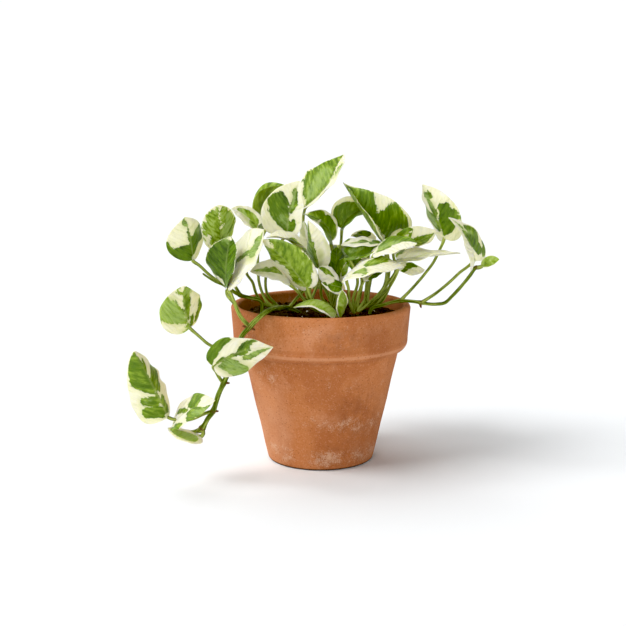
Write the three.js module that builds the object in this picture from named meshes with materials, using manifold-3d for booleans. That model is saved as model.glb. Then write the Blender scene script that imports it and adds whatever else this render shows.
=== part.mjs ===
// A variegated pothos in a round terracotta pot: the pot, its soil and the leafy shoots rooted in it.
// Millimetres, +Z up, the front of the plant towards -Y. Places are measured from the pot's axis, with the
// underside of the pot at z = 0. The last step moves the whole plant sideways, so that the origin lies
// under the middle of its outline as seen from above.

import * as THREE from "three";
import { mergeVertices } from "three/addons/utils/BufferGeometryUtils.js";
import loadManifold from "manifold-3d";

const manifold = await loadManifold();
manifold.setup();

// Pot
const rimRadius = 65;
const potHeight = 115;
const baseRadius = 39;
const neckRadius = 57;
const neckHeight = 82;
const collarFootRadius = 63.5;
const collarFootHeight = 89;
const lipRadius = 2.9;
const edgeRadius = 1.5;
const floorThickness = 8;
const floorRadius = 34.5;
const innerRimRadius = rimRadius - 2 * lipRadius;
const drainHoleRadius = 6;
const potSegments = 48;
const lipSteps = 5;
const collarFootSteps = 4;

// Soil
const soilLevel = 106.5;
const soilGap = 0.3;
const soilSegments = 32;
const moundHeight = 1;
const bumpHeight = 0.4;
const bumpWave = 0.3;

// Leaves, stems and petioles
const bladeThickness = 0.7;
const bladeRows = 7;
const bladeColumns = 2;
const endCrowding = 0.35;
const petioleRadius = 1.35;
const petioleUnderBlade = 0.2;
const rootStubRadius = 1;
const rootTipRadius = 0.45;
const holeClearance = 0.7;
const stemSides = 6;
const petioleSides = 5;
const tubeStepsPerPoint = 1.2;

// Joining and cutting

function toSolid(geometry) {
  const bare = geometry.clone();
  bare.deleteAttribute("normal");
  bare.deleteAttribute("uv");
  const merged = mergeVertices(bare, 1e-4);
  const solid = new manifold.Manifold(
    new manifold.Mesh({
      numProp: 3,
      vertProperties: new Float32Array(merged.attributes.position.array),
      triVerts: new Uint32Array(merged.index.array),
    }),
  );
  return solid;
}

function toGeometry(solid) {
  const mesh = solid.getMesh();
  const geometry = new THREE.BufferGeometry();
  geometry.setAttribute("position", new THREE.BufferAttribute(mesh.vertProperties, mesh.numProp));
  geometry.setIndex(new THREE.BufferAttribute(mesh.triVerts, 1));
  geometry.computeVertexNormals();
  return geometry;
}

function join(solids) {
  return solids.reduce((whole, next) => whole.add(next));
}

function material(color, roughness) {
  return new THREE.MeshStandardMaterial({ color, roughness, metalness: 0 });
}

// Pot and soil

function lathe(profile, segments) {
  const points = profile.map(([radius, height]) => new THREE.Vector2(radius, height));
  const geometry = new THREE.LatheGeometry(points, segments);
  geometry.rotateX(Math.PI / 2);
  return geometry;
}

// The rounded shoulder by which the pot's wall steps out into its collar.
function collarFoot() {
  const arc = [];
  for (let i = 0; i <= collarFootSteps; i += 1) {
    const angle = (Math.PI / 2) * (i / collarFootSteps - 1);
    const radius = neckRadius + (collarFootRadius - neckRadius) * Math.cos(angle);
    arc.push([radius, collarFootHeight + (collarFootHeight - neckHeight) * Math.sin(angle)]);
  }
  return arc;
}

// The half-round lip, from the outside of the rim to its inside.
function lipArc() {
  const centre = rimRadius - lipRadius;
  const arc = [];
  for (let i = 0; i <= lipSteps; i += 1) {
    const angle = (Math.PI * i) / lipSteps;
    arc.push([centre + lipRadius * Math.cos(angle), potHeight - lipRadius + lipRadius * Math.sin(angle)]);
  }
  return arc;
}

function innerWall(height) {
  const share = (height - floorThickness) / (potHeight - lipRadius - floorThickness);
  return floorRadius + (innerRimRadius - floorRadius) * share;
}

function makePot() {
  const profile = [
    [drainHoleRadius, 0],
    [baseRadius - edgeRadius, 0],
    [baseRadius, edgeRadius],
    ...collarFoot(),
    ...lipArc(),
    [floorRadius, floorThickness + edgeRadius],
    [floorRadius - edgeRadius, floorThickness],
    [drainHoleRadius, floorThickness],
    [drainHoleRadius, 0],
  ];
  return lathe(profile, potSegments);
}

// The soil fills the pot up to a low mound with an uneven top.
function makeSoil() {
  const foot = floorThickness + soilGap;
  const edge = innerWall(soilLevel) - soilGap;
  const mound = [0.94, 0.78, 0.58, 0.38, 0.18, 0].map((share) => [
    edge * share,
    soilLevel + moundHeight * (1 - share * share),
  ]);
  const profile = [
    [0, foot],
    [floorRadius - edgeRadius - soilGap, foot],
    [floorRadius - soilGap, foot + edgeRadius],
    [edge, soilLevel - moundHeight / 2],
    ...mound,
  ];
  const geometry = lathe(profile, soilSegments);
  const position = geometry.attributes.position;
  for (let i = 0; i < position.count; i += 1) {
    const x = bumpWave * position.getX(i);
    const y = bumpWave * position.getY(i);
    const z = position.getZ(i);
    const bump = Math.sin(x + 1) * Math.cos(y) + Math.sin(1.6 * x - 1.3 * y);
    if (z > soilLevel) position.setZ(i, z + bumpHeight * bump);
  }
  return geometry;
}

// Stems and petioles are tubes of few sides along a smooth route.

function tube(route, radius, sides) {
  const points = route.map((place) => new THREE.Vector3(...place));
  const section = new THREE.Shape();
  for (let i = 0; i < sides; i += 1) {
    const angle = (2 * Math.PI * i) / sides;
    const x = radius * Math.cos(angle);
    const y = radius * Math.sin(angle);
    if (i === 0) section.moveTo(x, y);
    else section.lineTo(x, y);
  }
  const curve = new THREE.CatmullRomCurve3(points, false, "centripetal");
  const steps = Math.ceil(points.length * tubeStepsPerPoint);
  return toSolid(new THREE.ExtrudeGeometry(section, { steps, bevelEnabled: false, extrudePath: curve }));
}

// The dried stub of an aerial root, which stands out of a node of the stem.
function rootStub([from, to]) {
  const start = new THREE.Vector3(...from);
  const end = new THREE.Vector3(...to);
  const length = start.distanceTo(end);
  const geometry = new THREE.CylinderGeometry(rootTipRadius, rootStubRadius, length, petioleSides);
  geometry.translate(0, length / 2, 0);
  const up = new THREE.Vector3(0, 1, 0);
  const direction = end.clone().sub(start).normalize();
  geometry.applyQuaternion(new THREE.Quaternion().setFromUnitVectors(up, direction));
  geometry.translate(start.x, start.y, start.z);
  return toSolid(geometry);
}

// A blade is laid out along its midrib, from base (t = 0) to tip (t = 1), and across from the left margin
// (v = -1) to the right one (v = 1), as seen on its upper face, which faces along leaf.face. Each half is
// folded up from the midrib by leaf.fold degrees and bends by leaf.curl more on the way to its margin.
// arch bows the midrib out of the blade, sway bows it sideways and twist turns the blade about it. wide
// is the place of the greatest width, taper the sharpness of the tip, and lobe sets back the base's lobes.

function bothHalves(value) {
  return Array.isArray(value) ? value : [value, value];
}

function bladeFrame(leaf) {
  const base = new THREE.Vector3(...leaf.base);
  const chord = new THREE.Vector3(...leaf.tip).sub(base);
  const length = chord.length();
  const along = chord.clone().normalize();
  const face = new THREE.Vector3(...leaf.face);
  face.addScaledVector(along, -face.dot(along)).normalize();
  const side = new THREE.Vector3().crossVectors(along, face);
  return { base, length, along, face, side };
}

function widthAt(t, wide, taper) {
  if (t <= 0 || t >= 1) return 0;
  const shoulder = (taper * wide) / (1 - wide);
  return (t / wide) ** shoulder * ((1 - t) / (1 - wide)) ** taper;
}

function bladePoint(leaf, frame, t, v) {
  const { arch = 0, sway = 0, twist = 0, wide = 0.4, taper = 0.9, lobe = 0.25 } = leaf;
  const half = v < 0 ? 0 : 1;
  const reach = Math.abs(v);
  const bow = 4 * t * (1 - t);
  const bend = new THREE.Vector3().addScaledVector(frame.face, arch).addScaledVector(frame.side, sway);
  const point = frame.base.clone().addScaledVector(frame.along, t * frame.length).addScaledVector(bend, bow);
  const forward = frame.along.clone().multiplyScalar(frame.length).addScaledVector(bend, 4 - 8 * t).normalize();
  const up = frame.face.clone().addScaledVector(forward, -frame.face.dot(forward)).normalize();
  const right = new THREE.Vector3().crossVectors(forward, up);
  const turn = THREE.MathUtils.degToRad(twist) * (t - 0.3);
  up.applyAxisAngle(forward, -turn);
  right.applyAxisAngle(forward, -turn);

  const width = widthAt(t, wide, taper);
  const halfWidth = bothHalves(leaf.half)[half] * width;
  const fold = THREE.MathUtils.degToRad(bothHalves(leaf.fold ?? 0)[half]);
  const curl = THREE.MathUtils.degToRad(bothHalves(leaf.curl ?? 0)[half]) || 1e-3;
  const outward = (halfWidth * (Math.sin(fold + curl * reach) - Math.sin(fold))) / curl;
  const raised = (halfWidth * (Math.cos(fold) - Math.cos(fold + curl * reach))) / curl;
  const setBack = frame.length * lobe * reach * reach * width * (1 - t) ** 3;
  point.addScaledVector(right, v < 0 ? -outward : outward);
  point.addScaledVector(up, raised);
  point.addScaledVector(forward, -setBack);
  return point;
}

// The middle surface's points: the base, the rows across the blade, which crowd towards its ends, the tip.
function bladeSurface(leaf, rows, columns) {
  const frame = bladeFrame(leaf);
  const points = [bladePoint(leaf, frame, 0, 0)];
  for (let i = 1; i < rows; i += 1) {
    const even = (2 * Math.PI * i) / rows;
    const t = (even - endCrowding * Math.sin(even)) / (2 * Math.PI);
    for (let j = -columns; j <= columns; j += 1) {
      points.push(bladePoint(leaf, frame, t, j / columns));
    }
  }
  points.push(bladePoint(leaf, frame, 1, 0));
  return points;
}

// The upper face's triangles, counter-clockwise as seen on it. Point 0 is the base, the last is the tip.
function bladeTriangles(rows, columns) {
  const across = 2 * columns + 1;
  const tip = 1 + across * (rows - 1);
  const triangles = [];
  for (let j = 0; j < across - 1; j += 1) {
    triangles.push([0, 2 + j, 1 + j]);
    triangles.push([tip, tip - across + j, tip - across + j + 1]);
    for (let i = 0; i < rows - 2; i += 1) {
      const near = 1 + across * i + j;
      const far = near + across;
      triangles.push([near, near + 1, far + 1]);
      triangles.push([near, far + 1, far]);
    }
  }
  return triangles;
}

// The points around the margin: out along the right one, back along the left one.
function marginLoop(rows, columns) {
  const across = 2 * columns + 1;
  const right = [];
  const left = [];
  for (let i = 0; i < rows - 1; i += 1) {
    left.push(1 + across * i);
    right.push(across * (i + 1));
  }
  return [0, ...right, 1 + across * (rows - 1), ...left.reverse()];
}

// The upper and the lower face lie half the thickness off the middle surface, along its normals.
function bladeSolid(leaf) {
  const rows = leaf.small ? bladeRows - 1 : bladeRows;
  const middle = bladeSurface(leaf, rows, bladeColumns);
  const upper = bladeTriangles(rows, bladeColumns);
  const sheet = new THREE.BufferGeometry().setFromPoints(middle);
  sheet.setIndex(upper.flat());
  sheet.computeVertexNormals();
  const normal = new THREE.Vector3();
  const top = [];
  const bottom = [];
  middle.forEach((point, i) => {
    normal.fromBufferAttribute(sheet.attributes.normal, i);
    top.push(point.clone().addScaledVector(normal, bladeThickness / 2));
    bottom.push(point.clone().addScaledVector(normal, -bladeThickness / 2));
  });
  const count = middle.length;
  const triangles = upper.concat(upper.map(([a, b, c]) => [a + count, c + count, b + count]));
  const loop = marginLoop(rows, bladeColumns);
  loop.forEach((a, i) => {
    const b = loop[(i + 1) % loop.length];
    triangles.push([a, a + count, b + count], [a, b + count, b]);
  });
  const geometry = new THREE.BufferGeometry().setFromPoints([...top, ...bottom]);
  geometry.setIndex(triangles.flat());
  return toSolid(geometry);
}

// A petiole runs from the stem to the blade's base and on under the first part of its midrib.
function petioleSolid(leaf) {
  const radius = leaf.petioleRadius ?? petioleRadius;
  const frame = bladeFrame(leaf);
  const joint = bladePoint(leaf, frame, 0, 0).addScaledVector(frame.face, -radius / 2);
  const under = bladePoint(leaf, frame, petioleUnderBlade, 0).addScaledVector(frame.face, -radius / 2);
  return tube([...leaf.petiole, joint.toArray(), under.toArray()], radius, petioleSides);
}

function shootSolid(shoot) {
  const tubes = shoot.stems.map((stem) => tube(stem.route, stem.radius, stemSides));
  const stubs = (shoot.rootStubs ?? []).map(rootStub);
  return join([...tubes, ...stubs, ...shoot.leaves.map(petioleSolid), ...shoot.leaves.map(bladeSolid)]);
}

// A stem's hole in the soil has the stem's own route, a little wider and deeper.
function stemHole({ route, radius }) {
  const [x, y, z] = route[0];
  const deeper = [[x, y, z - holeClearance], ...route.slice(1)];
  return tube(deeper, radius + holeClearance, stemSides);
}

// The long vine that crosses the rim at the front left and hangs beside the pot.
const trailingVine = {
  name: "trailing_vine",
  stems: [
    {
      radius: 2.2,
      route: [
        [-8, 10, 86], [-9, 7, 100], [-17, 0, 108], [-23, -12, 113], [-29, -28, 116], [-35, -49, 118.5],
        [-40, -61, 117], [-44, -66, 114], [-48, -68, 110], [-53, -67, 104], [-58, -65, 91], [-65, -61, 73],
        [-70, -61, 62], [-74, -60, 50], [-78, -59, 44], [-82, -58, 37], [-86, -58, 34],
      ],
    },
  ],
  rootStubs: [
    [[-48, -68, 110], [-44, -69, 108]],
    [[-48, -68, 110], [-53, -69, 111]],
    [[-66, -61, 70], [-62, -62, 70]],
    [[-74, -60, 50], [-70, -61, 50]],
  ],
  leaves: [
    {
      petiole: [[-58, -65, 91], [-68, -65, 94], [-76, -66, 98], [-82, -65, 103]],
      base: [-88, -64, 109], tip: [-91, -68, 138], face: [0.4, -0.9, -0.1], half: 20,
      sway: -2, fold: [20, -30], curl: [-5, -20], twist: 10, wide: 0.45,
    },
    {
      petiole: [[-66, -61, 69], [-69, -61, 73], [-71, -64, 78]],
      base: [-72, -72, 84], tip: [-32, -76, 98], face: [0, -1, -0.2], half: [17, 16],
      arch: -3, sway: -3, fold: [20, 5], curl: [0, -15], twist: -40, wide: 0.45, lobe: 0.3,
    },
    {
      petiole: [[-74, -60, 50], [-80, -60, 48], [-89, -60, 44], [-97, -59, 43]],
      base: [-105, -58, 45], tip: [-126, -66, 93], face: [0.6, -0.8, 0.1], half: 19,
      arch: 4, sway: -1, fold: [-10, -25], curl: [-25, -40], twist: 10, wide: 0.3, taper: 0.6, lobe: 0,
    },
    {
      petiole: [[-82, -58, 37], [-89, -56, 34], [-97, -56, 35]],
      base: [-102, -58, 40], tip: [-72, -66, 59], face: [-0.6, -0.5, 0.6], half: 14,
      arch: 4, fold: [0, 15], curl: [-15, 0], twist: -10, wide: 0.45,
    },
    {
      petiole: [[-82, -58, 37], [-81, -60, 34]], small: true,
      base: [-83, -60, 32], tip: [-105, -64, 39], face: [0.3, -0.4, 0.9], half: 9,
      arch: 1, sway: -1, fold: [0, -15], curl: [-10, -25], twist: 5, taper: 0.7,
    },
    {
      petiole: [[-48, -68, 110], [-54, -67, 117], [-58, -63, 125], [-61, -56, 130]], petioleRadius: 1.6,
      base: [-64, -48, 133], tip: [-39, -46, 173], face: [-0.7, -0.5, 0.5], half: [23, 20],
      arch: 2, sway: -3, fold: [-10, 10], curl: [-15, -5], twist: -30, wide: 0.45,
    },
    {
      petiole: [[-58, -63, 125], [-64, -51, 129]],
      base: [-66, -38, 133], tip: [-62, -41, 168], face: [-0.7, -0.7, 0], half: 17,
      arch: 3, sway: 2, fold: [10, 30], curl: [-5, 5], twist: -40, wide: 0.5,
    },
    {
      petiole: [[-23, -12, 113], [-18, -17, 120], [-12, -20, 128], [-11, -23, 142], [-12, -26, 152]],
      base: [-14, -28, 159], tip: [-38, -32, 166], face: [0.3, -0.3, 0.9], half: 10,
      arch: 3, fold: [30, 15], curl: [0, -5], twist: -5,
    },
  ],
};

// The short stem that leans out over the rim at the left.
const leftShoot = {
  name: "left_shoot",
  stems: [
    {
      radius: 1.7,
      route: [
        [-44, -8, 88], [-43, -6, 103], [-43, -8, 117], [-51, -14, 121], [-57, -22, 124], [-62, -28, 128],
        [-66, -32, 132],
      ],
    },
    { radius: 0.9, route: [[-66, -32, 132], [-74, -36, 136], [-82, -38, 142]] },
  ],
  leaves: [
    {
      petiole: [[-66, -32, 132], [-76, -34, 139], [-84, -36, 147]],
      base: [-88, -38, 151], tip: [-93, -42, 181], face: [0.5, -0.9, 0], half: 18,
      sway: 1, fold: [5, -25], curl: [-10, -30], twist: 10, wide: 0.5,
    },
    {
      petiole: [[-57, -22, 124], [-64, -22, 137], [-69, -20, 151]],
      base: [-70, -22, 161], tip: [-71, -26, 188], face: [0.5, -0.9, -0.1], half: 15,
      arch: 1, fold: [10, -20], curl: [-5, -15], twist: 35, taper: 0.6,
    },
  ],
};

const leftBackShoot = {
  name: "left_back_shoot",
  stems: [{ radius: 2, route: [[-32, 8, 88], [-31, 8, 112]] }],
  leaves: [
    {
      petiole: [
        [-31, 8, 110], [-38, 3, 112], [-43, 0, 115], [-47, -4, 123], [-49, -8, 131], [-53, -14, 139],
        [-51, -22, 152], [-47, -28, 164],
      ],
      base: [-44, -28, 174], tip: [-62, -32, 186], face: [0.5, -0.6, 0.6], half: 9,
      sway: 1, fold: 15, curl: -5, twist: -10,
    },
    {
      petiole: [[-31, 8, 110], [-38, 6, 113], [-42, 8, 119], [-45, 8, 128], [-46, 8, 142], [-45, 14, 156]],
      base: [-39, 22, 172], tip: [-20, 16, 196], face: [-0.8, -0.4, 0.5], half: 14,
      arch: 9, sway: -2, fold: [30, 55], curl: [5, 25], twist: 10, taper: 1.1, lobe: 0.1,
    },
    {
      petiole: [[-31, 8, 110], [-34, 10, 113], [-39, 6, 120], [-40, 0, 132], [-36, -8, 146], [-30, -12, 158]],
      base: [-24, -12, 168], tip: [-15, -16, 204], face: [-0.3, -0.9, 0], half: [20, 14],
      arch: -1, sway: -2, fold: [20, 25], curl: 5, wide: 0.35,
    },
  ],
};

const frontShoot = {
  name: "front_shoot",
  stems: [{ radius: 2, route: [[2, -18, 86], [3, -19, 112]] }],
  leaves: [
    {
      petiole: [[3, -19, 110], [4, -28, 114], [-2, -34, 119], [-7, -38, 125]],
      base: [-10, -40, 132], tip: [-40, -44, 166], face: [-0.2, -0.9, -0.3], half: 14,
      sway: 2, fold: [-15, -5], curl: [-35, -25], twist: -10,
    },
    {
      petiole: [[3, -19, 110], [12, -34, 111], [12, -42, 115]],
      base: [10, -46, 117], tip: [-19, -50, 120], face: [0.1, -0.2, 1], half: 12,
      arch: 7, sway: 1, fold: [-10, -25], curl: -20, twist: -15, wide: 0.35,
    },
    {
      petiole: [[3, -19, 110], [-7, -24, 116], [-13, -28, 123], [-17, -32, 129]],
      base: [-22, -34, 135], tip: [-49, -38, 143], face: [0.3, -0.4, 0.9], half: 12,
      arch: 7, fold: [5, 0], curl: -10, twist: 20, wide: 0.45,
    },
    {
      petiole: [[3, -19, 110], [8, -22, 116], [11, -27, 127]], small: true,
      base: [12, -30, 135], tip: [-2, -32, 145], face: [0.4, -0.8, 0.5], half: 7,
      fold: -5, curl: -15, twist: 15, wide: 0.5,
    },
    {
      petiole: [[3, -19, 110], [10, -27, 112], [12, -33, 123]], small: true,
      base: [14, -37, 132], tip: [0, -42, 136], face: [0.3, -0.7, 0.6], half: 6,
      fold: [0, -5], curl: -15, twist: -15, wide: 0.35, lobe: 0.4,
    },
    {
      petiole: [[3, -19, 110], [11, -32, 110]], small: true,
      base: [14, -40, 112], tip: [14, -44, 131], face: [0.8, -0.6, -0.1], half: 7,
      arch: 2, fold: [0, -10], curl: -15, twist: 20, wide: 0.5,
    },
  ],
};

const backShoot = {
  name: "back_shoot",
  stems: [{ radius: 2.2, route: [[-9, 28, 86], [-8, 27, 112]] }],
  leaves: [
    {
      petiole: [[-8, 27, 110], [-15, 24, 117], [-15, 20, 132], [-14, 16, 152], [-13, 14, 170]],
      base: [-12, 14, 183], tip: [17, 22, 221], face: [-0.5, -0.7, 0.5], half: 20,
      sway: 5, fold: [15, 35], curl: [0, 15], twist: -5, lobe: 0.1,
    },
    {
      petiole: [[-8, 27, 110], [-8, 34, 120], [-7, 41, 138]],
      base: [-6, 46, 150], tip: [-14, 84, 126], face: [-0.1, 0.7, 0.7], half: 17,
      arch: 5, fold: 10, curl: -15, twist: 5,
    },
    {
      petiole: [[-8, 27, 110], [-12, 30, 122], [-18, 34, 148]],
      base: [-24, 38, 166], tip: [-50, 62, 158], face: [-0.2, 0.5, 0.9], half: 15,
      arch: 5, fold: 10, curl: -15, twist: -5,
    },
    {
      petiole: [[-8, 27, 110], [-4, 42, 117], [0, 56, 124]],
      base: [2, 68, 122], tip: [10, 88, 84], face: [0, 0.9, 0.4], half: 16,
      arch: 3, fold: 10, curl: -15, twist: 5,
    },
  ],
};

const centreShoot = {
  name: "centre_shoot",
  stems: [{ radius: 2.2, route: [[10, 4, 86], [10, 4, 112]] }],
  leaves: [
    {
      petiole: [[10, 4, 110], [1, -6, 119], [0, -14, 132]],
      base: [-1, -20, 143], tip: [-9, -22, 177], face: [-0.5, -0.9, -0.2], half: 12,
      arch: 2, fold: [-20, -5], curl: [-30, -15], twist: 20, wide: 0.45,
    },
    {
      petiole: [[10, 4, 110], [3, 3, 125], [-6, -1, 142]], small: true,
      base: [-8, -6, 154], tip: [-12, -4, 175], face: [-0.8, -0.5, -0.1], half: 7,
      arch: 1, fold: [10, 15], curl: -5, twist: -10, wide: 0.45,
    },
    {
      petiole: [[10, 4, 110], [8, 6, 128], [9, 6, 145]],
      base: [8, 2, 160], tip: [-12, 3, 179], face: [0.5, -0.6, 0.6], half: [17, 11],
      arch: 7, fold: [20, 15], curl: [10, -5], twist: -15, wide: 0.5, taper: 0.7,
    },
    {
      petiole: [[10, 4, 110], [10, 8, 125], [13, 10, 144], [15, 12, 159]],
      base: [15, 13, 168], tip: [35, 15, 181], face: [-0.4, -0.8, 0.5], half: 15,
      arch: 4, sway: -2, fold: [20, 40], curl: [0, 10], twist: -5, wide: 0.45,
    },
    {
      petiole: [[10, 4, 110], [7, -4, 121]], small: true,
      base: [9, -10, 134], tip: [11, -12, 157], face: [0.7, -0.7, -0.1], half: 9,
      arch: 1, fold: [15, -5], curl: [-5, -15], twist: 35, wide: 0.5, taper: 0.8,
    },
    {
      petiole: [[10, 4, 110], [11, -3, 115], [13, -9, 124]], small: true,
      base: [13, -12, 132], tip: [20, -13, 149], face: [-0.7, -0.7, 0.2], half: 7,
      arch: 1, sway: -1, fold: [10, 20], curl: -5, twist: -15, wide: 0.5,
    },
    {
      petiole: [[10, 4, 110], [11, 18, 120], [13, 32, 138]],
      base: [14, 44, 152], tip: [32, 78, 128], face: [0.3, 0.7, 0.7], half: 17,
      arch: 5, fold: 10, curl: -15, twist: -5,
    },
  ],
};

const rightShoot = {
  name: "right_shoot",
  stems: [{ radius: 2, route: [[25, -14, 86], [24, -14, 112]] }],
  leaves: [
    {
      petiole: [[24, -14, 110], [23, -20, 112], [20, -28, 120], [19, -35, 131]],
      base: [17, -38, 139], tip: [57, -42, 147], face: [-0.2, -0.2, 1], half: 16,
      arch: 6, sway: 2, fold: 5, curl: -10, twist: -15,
    },
    {
      petiole: [[24, -14, 110], [23, -17, 120], [26, -19, 133], [24, -21, 142]], small: true,
      base: [20, -22, 151], tip: [41, -24, 159], face: [-0.4, -0.6, 0.7], half: 9,
      arch: -2, sway: 1, fold: [20, 35], wide: 0.3, lobe: 0.4,
    },
    {
      petiole: [[24, -14, 110], [31, -12, 118], [34, -15, 132], [35, -24, 145]],
      base: [36, -30, 154], tip: [66, -36, 162], face: [-0.3, -0.3, 0.9], half: 12,
      arch: 3, sway: -2, fold: 5, curl: -10, twist: -10, wide: 0.45,
    },
    {
      petiole: [[24, -14, 110], [30, -13, 113], [38, -13, 120], [45, -14, 129], [47, -14, 142], [46, -14, 152]],
      base: [43, -13, 160], tip: [14, -17, 159], face: [0, -0.3, 1], half: 11,
      arch: 2, fold: [10, 0], curl: [-5, -15], twist: 10, wide: 0.45,
    },
    {
      petiole: [[24, -14, 110], [26, -12, 115], [29, -14, 129]], small: true,
      base: [29, -16, 141], tip: [17, -18, 150], face: [0.4, -0.8, 0.4], half: 6,
      arch: 1, fold: 15, curl: -5, twist: 5,
    },
    {
      petiole: [[24, -14, 110], [25, -16, 115], [27, -21, 126]], small: true,
      base: [30, -24, 136], tip: [44, -22, 141], face: [-0.2, -0.5, 0.8], half: 5,
      arch: 1, fold: [0, 10], curl: -10, twist: -5,
    },
  ],
};

const rightBackShoot = {
  name: "right_back_shoot",
  stems: [{ radius: 2.2, route: [[34, 9, 86], [34, 8, 112]] }],
  leaves: [
    {
      petiole: [[34, 8, 110], [41, 6, 115], [46, 6, 121], [50, 8, 135], [49, 10, 149]],
      base: [46, 9, 159], tip: [16, 3, 202], face: [0.4, -0.9, 0.2], half: [20, 27],
      arch: 9, sway: -5, fold: 45, curl: [45, 0], twist: -15, wide: 0.3, taper: 1.3,
    },
    {
      petiole: [[34, 8, 110], [33, 8, 116], [34, 10, 130], [35, 12, 143]], small: true,
      base: [35, 14, 157], tip: [22, 16, 162], face: [0.3, -0.5, 0.8], half: 8,
      arch: 1, fold: [55, 35], curl: [15, 5], wide: 0.3, taper: 0.8, lobe: 0.5,
    },
    {
      petiole: [[34, 8, 110], [44, 2, 115], [50, -1, 127], [54, -4, 140], [52, -7, 150]],
      base: [51, -8, 159], tip: [82, -12, 169], face: [0.1, -0.8, -0.6], half: 13,
      arch: 4, sway: 1, fold: [0, -30], curl: [-10, -20], twist: 50, wide: 0.45,
    },
    {
      petiole: [[34, 8, 110], [36, 3, 113], [41, -4, 120], [49, -10, 132], [54, -15, 142]],
      base: [54, -18, 149], tip: [98, -22, 154], face: [-0.1, -0.3, 1], half: 17,
      sway: -1, fold: [5, 15], curl: [-10, 0], twist: 30, wide: 0.45,
    },
    {
      petiole: [[34, 8, 110], [39, 0, 114], [48, -5, 125], [54, -10, 137]], small: true,
      base: [56, -12, 144], tip: [74, -14, 141], face: [0, -0.7, 0.7], half: 6,
      sway: 2, fold: [5, 15], curl: -5, wide: 0.45,
    },
    {
      petiole: [[34, 8, 110], [36, 18, 122], [40, 28, 138]],
      base: [44, 36, 150], tip: [66, 64, 138], face: [0.3, 0.3, 0.9], half: 15,
      arch: 5, fold: 10, curl: -15, twist: 5,
    },
  ],
};

// The runner that crosses the rim at the right and turns up at its tip.
const rightRunner = {
  name: "right_runner",
  stems: [
    {
      radius: 1.6,
      route: [
        [35, -3, 88], [35, -3, 101], [37, -4, 111], [44, -6, 114], [51, -8, 116.5], [57, -10, 118],
        [65, -12, 118], [72, -12, 117], [78, -12, 116], [84, -12, 116], [89, -12, 117], [94, -13, 122],
        [100, -14, 129], [106, -15, 137], [110, -16, 143], [112, -16, 143],
      ],
    },
  ],
  rootStubs: [[[71, -12, 117], [72, -13, 113]]],
  leaves: [
    {
      petiole: [[57, -10, 118], [66, -8, 127], [74, -6, 136], [81, -4, 145], [85, -3, 153]],
      base: [88, -2, 162], tip: [72, -6, 201], face: [-0.4, -0.9, -0.3], half: 17,
      arch: -1, sway: 1, fold: [-35, 0], curl: [-25, -10], twist: -15, wide: 0.35,
    },
    {
      petiole: [[72, -12, 117], [82, -14, 124], [92, -16, 133], [99, -17, 140], [104, -18, 144]],
      base: [109, -17, 148], tip: [89, -22, 179], face: [0.6, -0.7, 0.3], half: 14,
      arch: 4, sway: 1, fold: [20, 5], curl: [0, -10], twist: -30, wide: 0.3,
    },
    {
      petiole: [[110, -16, 143], [112, -16, 143]], small: true,
      base: [114, -16, 144], tip: [126, -18, 149], face: [-0.3, -0.9, 0.4], half: 4,
      arch: 1, sway: -1, fold: 10, curl: -10, wide: 0.5,
    },
  ],
};

const shoots = [
  trailingVine,
  leftShoot,
  leftBackShoot,
  frontShoot,
  backShoot,
  centreShoot,
  rightShoot,
  rightBackShoot,
  rightRunner,
];

const plant = new THREE.Group();

function addPiece(name, geometry, look) {
  const piece = new THREE.Mesh(geometry, look);
  piece.name = name;
  plant.add(piece);
}

addPiece("pot", toGeometry(toSolid(makePot())), material(0xb8693f, 0.85));

const rootedSoil = shoots
  .map((shoot) => stemHole(shoot.stems[0]))
  .reduce((soil, hole) => soil.subtract(hole), toSolid(makeSoil()));
addPiece("soil", toGeometry(rootedSoil), material(0x2b1d14, 1));

for (const shoot of shoots) {
  addPiece(shoot.name, toGeometry(shootSolid(shoot)), material(0x9fb267, 0.45));
}

const box = new THREE.Box3().setFromObject(plant);
plant.position.set(-(box.min.x + box.max.x) / 2, -(box.min.y + box.max.y) / 2, 0);

export default plant;
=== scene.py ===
import functools
import math
import random

import bpy
import numpy as np
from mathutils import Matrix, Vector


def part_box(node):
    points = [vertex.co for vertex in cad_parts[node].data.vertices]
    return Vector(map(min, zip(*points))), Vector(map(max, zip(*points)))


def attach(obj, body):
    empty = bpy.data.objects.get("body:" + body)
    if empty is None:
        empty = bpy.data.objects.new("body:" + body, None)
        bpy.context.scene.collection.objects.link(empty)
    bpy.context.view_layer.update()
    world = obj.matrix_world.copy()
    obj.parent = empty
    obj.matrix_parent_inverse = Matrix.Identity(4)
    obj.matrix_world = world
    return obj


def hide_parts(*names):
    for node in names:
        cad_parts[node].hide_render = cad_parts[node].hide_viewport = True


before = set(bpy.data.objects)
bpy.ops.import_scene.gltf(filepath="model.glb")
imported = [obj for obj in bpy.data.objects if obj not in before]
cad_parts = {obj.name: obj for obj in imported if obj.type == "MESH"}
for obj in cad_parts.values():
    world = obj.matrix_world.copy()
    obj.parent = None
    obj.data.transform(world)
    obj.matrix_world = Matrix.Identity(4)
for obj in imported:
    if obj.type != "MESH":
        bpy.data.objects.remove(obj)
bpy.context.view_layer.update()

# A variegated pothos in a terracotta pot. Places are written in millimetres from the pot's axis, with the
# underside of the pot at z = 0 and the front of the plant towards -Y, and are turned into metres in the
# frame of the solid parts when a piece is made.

MM = 0.001
pot_low, pot_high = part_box("pot")
POT_AXIS = np.array([(pot_low.x + pot_high.x) / 2, (pot_low.y + pot_high.y) / 2, 0])

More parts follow.
